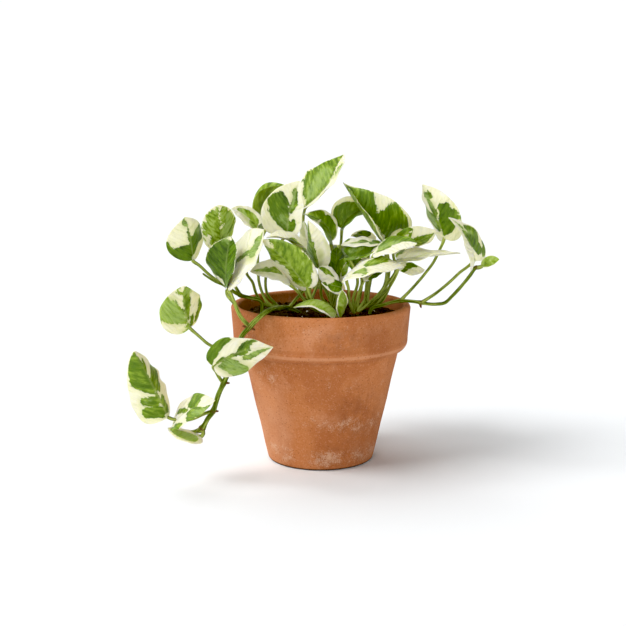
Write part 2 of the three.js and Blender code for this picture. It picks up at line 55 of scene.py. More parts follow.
RIM_RADIUS = 65
POT_HEIGHT = 115
BASE_RADIUS = 39
NECK_RADIUS = 57
NECK_HEIGHT = 82
COLLAR_FOOT_RADIUS = 63.5
COLLAR_FOOT_HEIGHT = 89
LIP_RADIUS = 2.9
MOUTH_RADIUS = RIM_RADIUS - 2 * LIP_RADIUS
EDGE_RADIUS = 1.5
FLOOR_THICKNESS = 8
FLOOR_RADIUS = 34.5
DRAIN_HOLE_RADIUS = 6
POT_SEGMENTS = 192
THROWING_RINGS = 5.5

SOIL_LEVEL = 106.5
SOIL_RADIUS = 56.6
SOIL_FOOT_RADIUS = 34
SOIL_SEGMENTS = 128
SOIL_RINGS = 40

BLADE_ROWS = 44
BLADE_COLUMNS = 14
USUAL_LENGTH = 40
BLADE_THICKNESS = 0.5
MARGIN_THICKNESS = 0.25
VEIN_SPACING = 3.4
STROKE_ASPECT = 0.45

PETIOLE_RADIUS = 1.35
SLIMNESS = 0.78
STEM_SIDES = 14
PETIOLE_SIDES = 12
STUB_SIDES = 10
STUB_RADIUS = 1.15

BLADE_MARKS = ("green", "pale", "tone", "mottle", "vein_x", "vein_y", "leaf", "under", "midrib")
STEM_MARKS = ("pale", "brown", "length_mm", "round_x", "round_y")


def link(name, data):
    """A new object with this mesh, camera or light."""
    made = bpy.data.objects.new(name, data)
    bpy.context.scene.collection.objects.link(made)
    return made


# Meshes


class Piece:
    """A mesh in the making: skins of rings, with one number per vertex for each of its marks."""

    def __init__(self, name, marks=()):
        self.name = name
        self.points = []
        self.faces = []
        self.marks = {mark: [] for mark in marks}
        self.count = 0

    def add(self, points, faces, **marks):
        self.points.append(points)
        self.faces.extend((np.asarray(face) + self.count).tolist() for face in faces)
        for mark, values in self.marks.items():
            value = np.asarray(marks.get(mark, 0.0), float)
            values.append(np.broadcast_to(value.reshape(-1), len(points)))
        self.count += len(points)

    def skin(self, rings, closed_ends=True, **marks):
        """Rings of one size become a tube, each end closed by a fan around its middle."""
        rows, around = rings.shape[:2]
        row, column = np.meshgrid(np.arange(rows - 1), np.arange(around), indexing="ij")
        beside = (column + 1) % around
        corners = (row * around + column, row * around + beside)
        faces = list(np.stack([*corners, corners[1] + around, corners[0] + around], -1).reshape(-1, 4))
        points = rings.reshape(-1, 3)
        marks = {mark: np.broadcast_to(value, (rows, around)).reshape(-1) for mark, value in marks.items()}
        if closed_ends:
            last = (rows - 1) * around
            points = np.vstack([points, rings[0].mean(0), rings[-1].mean(0)])
            first_middle, last_middle = len(points) - 2, len(points) - 1
            for j in range(around):
                k = (j + 1) % around
                faces.append((first_middle, k, j))
                faces.append((last_middle, last + j, last + k))
            for mark, values in marks.items():
                ends = [values[:around].mean(), values[-around:].mean()]
                marks[mark] = np.concatenate([values, ends])
        self.add(points, faces, **marks)

    def finish(self, material, replaced):
        mesh = bpy.data.meshes.new(self.name)
        points = np.vstack(self.points) * MM + POT_AXIS
        mesh.from_pydata(points.tolist(), [], self.faces)
        for mark, values in self.marks.items():
            attribute = mesh.attributes.new(mark, "FLOAT", "POINT")
            attribute.data.foreach_set("value", np.concatenate(values).astype(np.float32))
        mesh.polygons.foreach_set("use_smooth", [True] * len(mesh.polygons))
        mesh.materials.append(material)
        mesh.update()
        piece = link(self.name, mesh)
        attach(piece, "root")
        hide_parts(replaced)


def unit(vectors):
    return vectors / np.linalg.norm(vectors, axis=-1, keepdims=True)


def turns(count):
    """Even angles once around."""
    return np.linspace(0, 2 * np.pi, count, endpoint=False)


def curve_points(route, spacing):
    """A centripetal Catmull-Rom curve through the route, as evenly spaced points."""
    knots = np.asarray(route, float)
    knots = np.vstack([2 * knots[0] - knots[1], knots, 2 * knots[-1] - knots[-2]])
    samples = []
    for a, b, c, d in zip(knots, knots[1:], knots[2:], knots[3:]):
        times = np.cumsum([0] + [math.sqrt(math.dist(p, q)) for p, q in ((a, b), (b, c), (c, d))])
        t = np.linspace(times[1], times[2], 12, endpoint=False)[:, None]

        def between(p, q, low, high):
            return p * (high - t) / (high - low) + q * (t - low) / (high - low)

        ab = between(a, b, times[0], times[1])
        bc = between(b, c, times[1], times[2])
        cd = between(c, d, times[2], times[3])
        abc = between(ab, bc, times[0], times[2])
        bcd = between(bc, cd, times[1], times[3])
        samples.append(between(abc, bcd, times[1], times[2]))
    path = np.vstack(samples + [knots[-2]])
    lengths = np.concatenate([[0], np.cumsum(np.linalg.norm(np.diff(path, axis=0), axis=1))])
    even = np.linspace(0, lengths[-1], max(4, int(lengths[-1] / spacing) + 1))
    return np.stack([np.interp(even, lengths, path[:, axis]) for axis in range(3)], -1), even


def tube_rings(path, radii, sides):
    """Round sections along a path, carried along it without twist."""
    ahead = unit(np.gradient(path, axis=0))
    across = np.cross(ahead[0], [0, 0, 1] if abs(ahead[0][2]) < 0.9 else [1, 0, 0])
    frames = []
    for direction in ahead:
        across = unit(across - direction * (across @ direction))
        frames.append((across, np.cross(direction, across)))
    frames = np.array(frames)
    angle = turns(sides)[:, None]
    circle = np.cos(angle) * frames[:, None, 0] + np.sin(angle) * frames[:, None, 1]
    return path[:, None] + circle * radii[:, None, None]


# Blades


def blade_middle(leaf, t, v):
    """The blade's middle surface at t (0 base to 1 tip) and v (-1 left margin to 1 right margin)."""
    base, tip, face = (np.array(leaf[key], float) for key in ("base", "tip", "face"))
    chord = tip - base
    length = np.linalg.norm(chord)
    along = chord / length
    face = unit(face - along * (face @ along))
    side = np.cross(along, face)

    bend = leaf.get("arch", 0) * face + leaf.get("sway", 0) * side
    midrib = base + np.outer(t * length, along) + np.outer(4 * t * (1 - t), bend)
    forward = unit(length * along + np.outer(4 - 8 * t, bend))
    up = unit(face - forward * (forward @ face)[:, None])
    right = np.cross(forward, up)
    turn = np.radians(leaf.get("twist", 0)) * (t - 0.3)[:, None]
    right, up = np.cos(turn) * right + np.sin(turn) * up, np.cos(turn) * up - np.sin(turn) * right

    # The outline is widest at t = wide, and its taper runs from blunt to slender.
    wide, taper = leaf.get("wide", 0.4), leaf.get("taper", 0.9)
    width = (t / wide) ** (taper * wide / (1 - wide)) * ((1 - t) / (1 - wide)) ** taper
    width = width[:, None]

    def at_half(key, factor=1.0):
        value = leaf.get(key, 0)
        left_value, right_value = value if isinstance(value, tuple) else (value, value)
        return factor * np.where(v < 0, left_value, right_value)

    # Each half leaves the midrib at its fold angle and curls evenly towards its margin.
    half = at_half("half")
    fold = at_half("fold", math.pi / 180)
    curl = at_half("curl", math.pi / 180)
    curl = np.where(np.abs(curl) < 1e-3, 1e-3, curl)
    reach = np.abs(v)
    outward = np.sign(v) * half * (np.sin(fold + curl * reach) - np.sin(fold)) / curl * width
    raised = half * (np.cos(fold) - np.cos(fold + curl * reach)) / curl * width
    set_back = length * leaf.get("lobe", 0.25) * reach**2 * width * (1 - t[:, None]) ** 3
    surface = midrib[:, None] + outward[..., None] * right[:, None] + raised[..., None] * up[:, None]
    return surface - set_back[..., None] * forward[:, None], half * width, length


def stroke_field(strokes, t, v):
    """How far a place lies inside the nearest of some strokes."""
    best = np.full(np.broadcast(t, v).shape, -1.0)
    x = STROKE_ASPECT * v
    for stroke in strokes:
        t0, v0, t1, v1, radius0, radius1 = (percent / 100 for percent in stroke)
        dt, dx = t1 - t0, STROKE_ASPECT * (v1 - v0)
        share = ((t - t0) * dt + (x - STROKE_ASPECT * v0) * dx) / (dt * dt + dx * dx)
        share = np.clip(share, 0, 1)
        distance = np.hypot(t - t0 - share * dt, x - STROKE_ASPECT * v0 - share * dx)
        best = np.maximum(best, radius0 + (radius1 - radius0) * share - distance)
    return best


def add_blade(piece, leaf, number):
    draw = random.Random(number)
    even = np.arange(1, BLADE_ROWS) / BLADE_ROWS
    t = even - 0.35 * np.sin(2 * np.pi * even) / (2 * np.pi)
    t = np.concatenate([[0.002], t, [0.998]])
    v = np.linspace(-1, 1, 2 * BLADE_COLUMNS + 1)
    middle, half_width, length = blade_middle(leaf, t, v)
    normal = unit(np.cross(np.gradient(middle, axis=1), np.gradient(middle, axis=0)))
    normal[0] = normal[1]
    normal[-1] = normal[-2]

    t = t[:, None]
    reach = np.abs(v)
    off_rib = reach * half_width
    vein_x = t * length - 0.5 * off_rib - 0.025 * off_rib**2
    size = length / USUAL_LENGTH

    # The margin waves a little, the midrib lies in a groove and the blade swells between its veins.
    wave_count = draw.uniform(2.2, 3.4)
    phase = draw.random() + np.where(v < 0, 0, 0.37)
    wave = 0.8 * size * reach**3 * np.sin(2 * np.pi * (wave_count * t + phase)) * np.sin(np.pi * t)
    groove = -0.45 * size * np.exp(-((off_rib / (0.9 * size)) ** 2)) * (1 - t) ** 0.5
    swell = 0.07 * size * np.cos(2 * np.pi * vein_x / VEIN_SPACING)
    swell = swell * np.clip(off_rib / 2.5, 0, 1) * np.clip((1 - reach) * 4, 0, 1)
    middle = middle + normal * (wave + groove + swell)[..., None]

    # The midrib stands out below, and the blade thins towards its margin.
    thickness = MARGIN_THICKNESS + (BLADE_THICKNESS - MARGIN_THICKNESS) * np.sqrt(1 - reach**2)
    rib = 0.5 * size * np.exp(-((off_rib / (0.8 * size)) ** 2)) * (1 - t)
    upper = middle + normal * (thickness / 2)[..., None]
    lower = middle - normal * (thickness / 2 + rib)[..., None]

    green, cream, pale = (stroke_field(leaf.get(color, ()), t, v) for color in ("green", "cream", "pale"))

    def both_faces(values):
        values = values + np.zeros_like(half_width)
        return np.concatenate([values[:, ::-1], values], axis=1)

    piece.skin(
        np.concatenate([upper[:, ::-1], lower], axis=1),
        green=both_faces(np.minimum(green, -cream)),
        pale=both_faces(np.clip(0.5 + pale / 0.12, 0, 1)),
        tone=leaf["tone"],
        mottle=leaf.get("mottle", 0.2),
        vein_x=both_faces(vein_x),
        vein_y=both_faces(v * half_width),
        leaf=number,
        under=np.repeat([0, 1], len(v)),
        midrib=both_faces(np.exp(-((off_rib / (0.5 * size)) ** 2)) * (1 - 0.7 * t)),
    )


# Stems, petioles and root stubs


def add_tube(piece, path, along, radii, sides, **marks):
    rings = tube_rings(path, radii, sides)
    angle = turns(sides)
    piece.skin(rings, length_mm=along[:, None], round_x=np.cos(angle), round_y=np.sin(angle), **marks)


def add_petiole(piece, leaf):
    """A petiole swells below the blade and runs on under it as the start of the midrib."""
    radius = SLIMNESS * leaf.get("petiole_radius", PETIOLE_RADIUS)
    reach = np.array([0.0, 0.12, 0.25, 0.4])
    rib, _, _ = blade_middle(leaf, reach, np.array([-0.02, 0.02]))
    across = rib[1:, 1] - rib[1:, 0]
    below = unit(np.cross(np.diff(rib.mean(1), axis=0), across))
    below = np.vstack([below[:1], below])
    depth = radius * np.array([0.75, 0.95, 0.75, 0.35]) + BLADE_THICKNESS / 2
    under = rib.mean(1) + below * depth[:, None]
    path, along = curve_points([*leaf["petiole"], *under], 1.3)
    rib_length = np.linalg.norm(under[-1] - under[0])
    blade_start = along[-1] - rib_length
    share = np.clip((along - blade_start) / rib_length, 0, 1)
    swollen = 1 + 0.18 * np.exp(-(((along - blade_start + 2) / 3) ** 2))
    sheath = 1 + 0.35 * np.exp(-along / 7)
    radii = radius * swollen * sheath * (1 - 0.75 * share)
    pale = 0.45 + 0.5 * (along / along[-1])[:, None]
    brown = 0.35 * np.exp(-along / 1.5)[:, None]
    add_tube(piece, path, along, radii, PETIOLE_SIDES, pale=pale, brown=brown)


def add_stem(piece, route, radius, node_places):
    """A stem with a thicker, browner ring where each petiole starts, and a rounded end."""
    path, along = curve_points(route, 0.8)
    radii = np.full(len(path), SLIMNESS * radius)
    brown = np.zeros(len(path))
    for place in node_places:
        distance = np.linalg.norm(path - place, axis=1)
        if distance.min() < 3:
            radii += 0.4 * np.exp(-((distance / 2.2) ** 2))
            brown += 0.6 * np.exp(-((distance / 0.7) ** 2))
    radii *= 1 + 0.03 * np.sin(along / 2.3)
    end = along[-1] - along
    radii *= np.sqrt(np.clip(end / radius, 0.02, 1))
    brown += 0.5 * np.exp(-end / 1.2)
    add_tube(piece, path, along, radii, STEM_SIDES, pale=0.1, brown=np.clip(brown, 0, 1)[:, None])


def add_root_stub(piece, start, end):
    path, along = curve_points([start, end], 0.5)
    share = along / along[-1]
    radii = STUB_RADIUS * (1 - 0.5 * share) * np.sqrt(np.clip((1 - share) * 5, 0.03, 1))
    add_tube(piece, path, along, radii, STUB_SIDES, brown=1.0)


# The shoots, in the order of their leaves' numbers. A leaf is laid out as in blade_middle, and its petiole
# runs from the stem to its base. Its strokes of green, cream and paler green are (t, v) at both ends and
# the half widths there, in hundredths: t and the half widths of its length, v of its half width.

SHOOTS = []


class Shoot:
    """Stems with their radii, and leaves whose petioles start at the crown, where there is one."""

    def __init__(self, name, stems, root_stubs=(), crown=None):
        self.name = name
        self.stems = stems
        self.root_stubs = root_stubs
        self.crown = [] if crown is None else [crown]
        self.leaves = []
        SHOOTS.append(self)

    def leaf(self, petiole, **shape):
        self.leaves.append(dict(shape, petiole=self.crown + petiole))


vine = Shoot(
    "trailing_vine",
    stems=[
        (2.2, [(-8, 10, 86), (-9, 7, 100), (-17, 0, 108), (-23, -12, 113), (-29, -28, 116),
            (-35, -49, 118.5), (-40, -61, 117), (-44, -66, 114), (-48, -68, 110), (-53, -67, 104),
            (-58, -65, 91), (-65, -61, 73), (-70, -61, 62), (-74, -60, 50), (-78, -59, 44),
            (-82, -58, 37), (-86, -58, 34)]),
    ],
    root_stubs=[((-48, -68, 110), (-44, -69, 108)), ((-48, -68, 110), (-53, -69, 111)),
        ((-66, -61, 70), (-62, -62, 70)), ((-74, -60, 50), (-70, -61, 50))],
)
vine.leaf(
    petiole=[(-58, -65, 91), (-68, -65, 94), (-76, -66, 98), (-82, -65, 103)],
    base=(-88, -64, 109), tip=(-91, -68, 138), face=(0.4, -0.9, -0.1), half=20, sway=-2, fold=(20, -30),
    curl=(-5, -20), twist=10, wide=0.45, tone=0.6, mottle=0.4,
    green=[(63, -100, 20, -15, 17, 6), (52, -60, 36, -30, 19, 13), (1, -95, 3, -50, 5, 3),
        (20, 5, 85, 20, 3, 12), (87, 30, 93, 95, 8, 4), (94, -90, 82, -12, 2, 3), (10, 28, 20, 35, 8, 5),
        (15, 75, 48, 100, 8, 9), (5, -30, 5, 50, 5, 5)],
    pale=[(60, -70, 30, -30, 20, 14), (1, -90, 4, -40, 8, 5), (85, 20, 90, 80, 10, 8)],
)
vine.leaf(
    petiole=[(-66, -61, 69), (-69, -61, 73), (-71, -64, 78)],
    base=(-72, -72, 84), tip=(-32, -76, 98), face=(0, -1, -0.2), half=(17, 16), arch=-3, sway=-3,
    fold=(20, 5), curl=(0, -15), twist=-40, wide=0.45, lobe=0.3, tone=0.15,
    green=[(15, -75, 34, -100, 14, 15), (78, -95, 50, 0, 3, 10), (10, 0, 60, 5, 3, 4),
        (90, 28, 68, 35, 6, 8), (50, 35, 60, 40, 5, 6), (20, 35, 38, 85, 13, 12),
        (10, -12, 17, -12, 4, 3)],
    pale=[(20, 35, 40, 90, 18, 16), (90, 28, 50, 35, 10, 8)],
)
vine.leaf(
    petiole=[(-74, -60, 50), (-80, -60, 48), (-89, -60, 44), (-97, -59, 43)],
    base=(-105, -58, 45), tip=(-126, -66, 93), face=(0.6, -0.8, 0.1), half=19, arch=4, sway=-1,
    fold=(-10, -25), curl=(-25, -40), twist=10, wide=0.3, taper=0.6, lobe=0, tone=0.4,
    green=[(83, -65, 86, -20, 13, 14), (48, -12, 72, -50, 8, 16), (10, -3, 92, 0, 3, 3),
        (62, -15, 80, -10, 7, 7), (50, 15, 68, 70, 12, 8), (68, 75, 69, 100, 5, 3),
        (10, 12, 27, 15, 7, 5), (74, 5, 85, 33, 4, 3), (37, -55, 28, -20, 6, 8),
        (20, -62, 14, -20, 9, 10)],
    pale=[(70, 75, 69, 100, 6, 5), (35, -50, 35, -20, 3, 2)],
)
vine.leaf(
    petiole=[(-82, -58, 37), (-89, -56, 34), (-97, -56, 35)],
    base=(-102, -58, 40), tip=(-72, -66, 59), face=(-0.6, -0.5, 0.6), half=14, arch=4, fold=(0, 15),
    curl=(-15, 0), twist=-10, wide=0.45, tone=0.3,
    green=[(71, -95, 58, -25, 11, 13), (57, 30, 78, 85, 14, 14), (53, 50, 56, 80, 9, 10),
        (40, -8, 20, -50, 5, 7), (5, 100, 28, 85, 8, 10), (18, 60, 30, 85, 3, 8)],
    pale=[(60, 40, 80, 90, 10, 10)],
)
vine.leaf(
    petiole=[(-82, -58, 37), (-81, -60, 34)],
    base=(-83, -60, 32), tip=(-105, -64, 39), face=(0.3, -0.4, 0.9), half=9, arch=1, sway=-1,
    fold=(0, -15), curl=(-10, -25), twist=5, taper=0.7, tone=1,
    green=[(30, -40, 75, -30, 19, 17)],
    pale=[(30, -40, 75, -30, 20, 20)],
)
vine.leaf(
    petiole=[(-48, -68, 110), (-54, -67, 117), (-58, -63, 125), (-61, -56, 130)],
    base=(-64, -48, 133), tip=(-39, -46, 173), face=(-0.7, -0.5, 0.5), half=(23, 20), arch=2, sway=-3,
    fold=(-10, 10), curl=(-15, -5), twist=-30, wide=0.45, petiole_radius=1.6, tone=0.15,
    green=[(33, -95, 27, -35, 23, 17), (87, 50, 68, 50, 10, 11), (82, 22, 86, 20, 6, 5),
        (45, -5, 60, 25, 5, 5)],
    pale=[(90, 50, 65, 50, 13, 15), (55, 10, 60, 30, 6, 6)],
)
vine.leaf(
    petiole=[(-58, -63, 125), (-64, -51, 129)],
    base=(-66, -38, 133), tip=(-62, -41, 168), face=(-0.7, -0.7, 0), half=17, arch=3, sway=2,
    fold=(10, 30), curl=(-5, 5), twist=-40, wide=0.5, tone=-0.15, mottle=0.3,
    green=[(22, 0, 85, 0, 48, 42)],
    cream=[(2, 90, 16, 105, 10, 6), (30, 110, 90, 106, 3, 3), (97, -50, 97, 50, 4, 4),
        (12, -100, 8, -50, 10, 5)],
    pale=[(95, -70, 90, -10, 8, 7)],
)
vine.leaf(
    petiole=[(-23, -12, 113), (-18, -17, 120), (-12, -20, 128), (-11, -23, 142), (-12, -26, 152)],
    base=(-14, -28, 159), tip=(-38, -32, 166), face=(0.3, -0.3, 0.9), half=10, arch=3, fold=(30, 15),
    curl=(0, -5), twist=-5, tone=0.5,
    green=[(34, -95, 25, 25, 14, 10), (50, 110, 50, 100, 5, 4)],
    pale=[(30, -90, 20, 30, 10, 10)],
)

left = Shoot(
    "left_shoot",
    stems=[
        (1.7, [(-44, -8, 88), (-43, -6, 103), (-43, -8, 117), (-51, -14, 121), (-57, -22, 124),
            (-62, -28, 128), (-66, -32, 132)]),
        (0.9, [(-66, -32, 132), (-74, -36, 136), (-82, -38, 142)]),
    ],
)
left.leaf(
    petiole=[(-66, -32, 132), (-76, -34, 139), (-84, -36, 147)],
    base=(-88, -38, 151), tip=(-93, -42, 181), face=(0.5, -0.9, 0), half=18, sway=1, fold=(5, -25),
    curl=(-10, -30), twist=10, wide=0.5, tone=0.1,
    green=[(20, -60, 22, -25, 20, 16), (40, -100, 55, -100, 12, 6), (10, -90, 30, -95, 8, 12),
        (20, 8, 42, 25, 7, 14), (50, 45, 60, 100, 14, 9), (98, -40, 84, -8, 6, 5), (30, -5, 90, 0, 2, 2)],
    pale=[(98, -40, 84, -8, 8, 8), (60, 50, 62, 90, 8, 7)],
)
left.leaf(
    petiole=[(-57, -22, 124), (-64, -22, 137), (-69, -20, 151)],
    base=(-70, -22, 161), tip=(-71, -26, 188), face=(0.5, -0.9, -0.1), half=15, arch=1, fold=(10, -20),
    curl=(-5, -15), twist=35, taper=0.6, tone=0.8, mottle=1.2,
    green=[(25, -50, 80, -45, 20, 19), (25, 50, 80, 45, 22, 20), (5, 0, 20, 0, 15, 20)],
    cream=[(20, -105, 25, -70, 7, 3), (95, -90, 98, -20, 6, 4), (80, 108, 86, 85, 5, 3)],
    pale=[(20, 30, 70, 60, 10, 12)],
)

left_back = Shoot(
    "left_back_shoot",
    stems=[(2, [(-32, 8, 88), (-31, 8, 112)])],
    crown=(-31, 8, 110),
)
left_back.leaf(
    petiole=[(-38, 3, 112), (-43, 0, 115), (-47, -4, 123), (-49, -8, 131), (-53, -14, 139),
        (-51, -22, 152), (-47, -28, 164)],
    base=(-44, -28, 174), tip=(-62, -32, 186), face=(0.5, -0.6, 0.6), half=9, sway=1, fold=15, curl=-5,
    twist=-10, tone=0.8,
    green=[(15, -55, 15, 30, 16, 15), (30, 35, 70, 40, 15, 11)],
    pale=[(15, -80, 70, 40, 12, 12)],
)
left_back.leaf(
    petiole=[(-38, 6, 113), (-42, 8, 119), (-45, 8, 128), (-46, 8, 142), (-45, 14, 156)],
    base=(-39, 22, 172), tip=(-20, 16, 196), face=(-0.8, -0.4, 0.5), half=14, arch=9, sway=-2,
    fold=(30, 55), curl=(5, 25), twist=10, taper=1.1, lobe=0.1, tone=0.6, mottle=0.5,
    green=[(10, 0, 90, 0, 60, 60)],
)
left_back.leaf(
    petiole=[(-34, 10, 113), (-39, 6, 120), (-40, 0, 132), (-36, -8, 146), (-30, -12, 158)],
    base=(-24, -12, 168), tip=(-15, -16, 204), face=(-0.3, -0.9, 0), half=(20, 14), arch=-1, sway=-2,
    fold=(20, 25), curl=5, wide=0.35, tone=0.05,
    green=[(57, -64, 50, -45, 14, 16), (42, -42, 12, -15, 16, 10), (78, -5, 72, 20, 7, 10),
        (60, 25, 42, 5, 12, 7), (10, -10, 10, 40, 10, 12), (20, 42, 10, 50, 9, 9)],
    pale=[(25, -25, 10, 5, 10, 8), (78, 0, 50, 15, 10, 8)],
)

front = Shoot(
    "front_shoot",
    stems=[(2, [(2, -18, 86), (3, -19, 112)])],
    crown=(3, -19, 110),
)
front.leaf(
    petiole=[(4, -28, 114), (-2, -34, 119), (-7, -38, 125)],
    base=(-10, -40, 132), tip=(-40, -44, 166), face=(-0.2, -0.9, -0.3), half=14, sway=2, fold=(-15, -5),
    curl=(-35, -25), twist=-10, tone=0.6, mottle=0.5,
    green=[(82, -100, 72, -30, 11, 15), (66, -15, 45, 10, 17, 16), (70, 55, 40, 50, 22, 22),
        (86, 90, 70, 95, 10, 10), (12, 30, 30, 40, 17, 18), (16, -40, 30, -15, 11, 10),
        (8, -30, 5, 0, 8, 6)],
    cream=[(97, 40, 85, 33, 5, 1), (12, -100, 30, -100, 10, 3)],
    pale=[(90, 95, 60, 100, 10, 7), (87, -100, 84, -30, 4, 4)],
)
front.leaf(
    petiole=[(12, -34, 111), (12, -42, 115)],
    base=(10, -46, 117), tip=(-19, -50, 120), face=(0.1, -0.2, 1), half=12, arch=7, sway=1,
    fold=(-10, -25), curl=-20, twist=-15, wide=0.35, tone=0.9,
    green=[(10, 0, 90, 0, 42, 34)],
    pale=[(80, -60, 90, -40, 4, 4)],
)
front.leaf(
    petiole=[(-7, -24, 116), (-13, -28, 123), (-17, -32, 129)],
    base=(-22, -34, 135), tip=(-49, -38, 143), face=(0.3, -0.4, 0.9), half=12, arch=7, fold=(5, 0),
    curl=-10, twist=20, wide=0.45, tone=0.55,
    green=[(85, -25, 68, -25, 9, 10), (68, -20, 45, -20, 10, 8), (45, 0, 32, -8, 12, 8),
        (68, -5, 68, 0, 5, 5)],
    pale=[(85, -60, 50, -60, 6, 5)],
)
front.leaf(
    petiole=[(8, -22, 116), (11, -27, 127)],
    base=(12, -30, 135), tip=(-2, -32, 145), face=(0.4, -0.8, 0.5), half=7, fold=-5, curl=-15, twist=15,
    wide=0.5, tone=0.35,
    green=[(30, 20, 90, 30, 5, 18), (60, 0, 70, 10, 8, 10)],
)
front.leaf(
    petiole=[(10, -27, 112), (12, -33, 123)],
    base=(14, -37, 132), tip=(0, -42, 136), face=(0.3, -0.7, 0.6), half=6, fold=(0, -5), curl=-15,
    twist=-15, wide=0.35, lobe=0.4, tone=0,
    green=[(20, 0, 45, -30, 30, 24), (82, -30, 90, 30, 12, 12), (15, 50, 30, 95, 16, 10)],
)
front.leaf(
    petiole=[(11, -32, 110)],
    base=(14, -40, 112), tip=(14, -44, 131), face=(0.8, -0.6, -0.1), half=7, arch=2, fold=(0, -10),
    curl=-15, twist=20, wide=0.5, tone=0.8,
    green=[(5, -10, 95, -10, 38, 30)],
    pale=[(10, 50, 40, 50, 4, 4)],
)

back = Shoot(
    "back_shoot",
    stems=[(2.2, [(-9, 28, 86), (-8, 27, 112)])],
    crown=(-8, 27, 110),
)
back.leaf(
    petiole=[(-15, 24, 117), (-15, 20, 132), (-14, 16, 152), (-13, 14, 170)],
    base=(-12, 14, 183), tip=(17, 22, 221), face=(-0.5, -0.7, 0.5), half=20, sway=5, fold=(15, 35),
    curl=(0, 15), twist=-5, lobe=0.1, tone=0.45, mottle=0.5,
    green=[(30, -40, 85, -60, 22, 20), (10, -15, 30, -25, 8, 14), (72, 25, 72, 60, 12, 10)],
    cream=[(5, -95, 20, -95, 10, 8), (10, 50, 55, 60, 20, 20), (93, 40, 95, 90, 10, 10)],
    pale=[(20, -30, 60, -40, 12, 16), (72, 30, 72, 70, 14, 12)],
)
back.leaf(
    petiole=[(-8, 34, 120), (-7, 41, 138)],
    base=(-6, 46, 150), tip=(-14, 84, 126), face=(-0.1, 0.7, 0.7), half=17, arch=5, fold=10, curl=-15,
    twist=5, tone=0.2,
    green=[(22, -25, 55, -75, 15, 16), (35, 25, 70, 65, 17, 15), (10, 0, 90, 0, 3, 2)],
    pale=[(50, 40, 70, 60, 12, 10)],
)
back.leaf(
    petiole=[(-12, 30, 122), (-18, 34, 148)],
    base=(-24, 38, 166), tip=(-50, 62, 158), face=(-0.2, 0.5, 0.9), half=15, arch=5, fold=10, curl=-15,
    twist=-5, tone=0.1,
    green=[(15, 25, 60, 85, 14, 18), (60, -20, 85, -40, 16, 12), (25, -40, 30, -80, 10, 10)],
    pale=[(80, -30, 60, -20, 10, 10)],
)
back.leaf(
    petiole=[(-4, 42, 117), (0, 56, 124)],
    base=(2, 68, 122), tip=(10, 88, 84), face=(0, 0.9, 0.4), half=16, arch=3, fold=10, curl=-15, twist=5,
    tone=0.2,
    green=[(20, -15, 60, -50, 17, 22), (60, 25, 85, 35, 14, 12)],
    pale=[(20, -20, 40, -20, 10, 10)],
)

centre = Shoot(
    "centre_shoot",
    stems=[(2.2, [(10, 4, 86), (10, 4, 112)])],
    crown=(10, 4, 110),
)
centre.leaf(
    petiole=[(1, -6, 119), (0, -14, 132)],
    base=(-1, -20, 143), tip=(-9, -22, 177), face=(-0.5, -0.9, -0.2), half=12, arch=2, fold=(-20, -5),
    curl=(-30, -15), twist=20, wide=0.45, tone=0.3, mottle=0.35,
    green=[(12, -30, 42, -90, 20, 20), (40, -20, 92, -20, 12, 8), (12, -5, 50, -10, 7, 10),
        (25, -50, 30, -30, 12, 12)],
    pale=[(30, 90, 60, 90, 3, 3), (10, 30, 30, 40, 10, 10)],
)
centre.leaf(
    petiole=[(3, 3, 125), (-6, -1, 142)],
    base=(-8, -6, 154), tip=(-12, -4, 175), face=(-0.8, -0.5, -0.1), half=7, arch=1, fold=(10, 15),
    curl=-5, twist=-10, wide=0.45, tone=1,
    green=[(90, 90, 50, 100, 8, 6), (25, -100, 15, -90, 6, 6)],
    pale=[(80, -60, 60, -20, 20, 15)],
)
centre.leaf(
    petiole=[(8, 6, 128), (9, 6, 145)],
    base=(8, 2, 160), tip=(-12, 3, 179), face=(0.5, -0.6, 0.6), half=(17, 11), arch=7, fold=(20, 15),
    curl=(10, -5), twist=-15, wide=0.5, taper=0.7, tone=0.35,
    green=[(80, -80, 76, 50, 14, 18), (30, -50, 30, 30, 34, 32)],
    cream=[(58, -100, 60, 20, 3, 1.5), (40, 105, 10, 105, 14, 8)],
)
centre.leaf(
    petiole=[(10, 8, 125), (13, 10, 144), (15, 12, 159)],
    base=(15, 13, 168), tip=(35, 15, 181), face=(-0.4, -0.8, 0.5), half=15, arch=4, sway=-2,
    fold=(20, 40), curl=(0, 10), twist=-5, wide=0.45, tone=0.15,
    green=[(30, 30, 62, 30, 54, 44)],
    cream=[(30, -110, 75, -110, 5, 8), (95, -75, 88, -30, 10, 5), (100, 40, 96, 100, 4, 8)],
)
centre.leaf(
    petiole=[(7, -4, 121)],
    base=(9, -10, 134), tip=(11, -12, 157), face=(0.7, -0.7, -0.1), half=9, arch=1, fold=(15, -5),
    curl=(-5, -15), twist=35, wide=0.5, taper=0.8, tone=-0.1,
    green=[(10, 0, 90, 0, 50, 50)],
    pale=[(10, -80, 10, 80, 5, 5)],
)
centre.leaf(
    petiole=[(11, -3, 115), (13, -9, 124)],
    base=(13, -12, 132), tip=(20, -13, 149), face=(-0.7, -0.7, 0.2), half=7, arch=1, sway=-1,
    fold=(10, 20), curl=-5, twist=-15, wide=0.5, tone=0.5,
    green=[(20, -40, 85, -50, 20, 22), (50, 50, 80, 60, 20, 18)],
    pale=[(60, 50, 75, 60, 14, 14)],
)
centre.leaf(
    petiole=[(11, 18, 120), (13, 32, 138)],
    base=(14, 44, 152), tip=(32, 78, 128), face=(0.3, 0.7, 0.7), half=17, arch=5, fold=10, curl=-15,
    twist=-5, tone=0.1,
    green=[(30, -25, 70, -65, 17, 20), (10, 25, 50, 75, 15, 15)],
    pale=[(30, 50, 50, 70, 10, 10)],
)

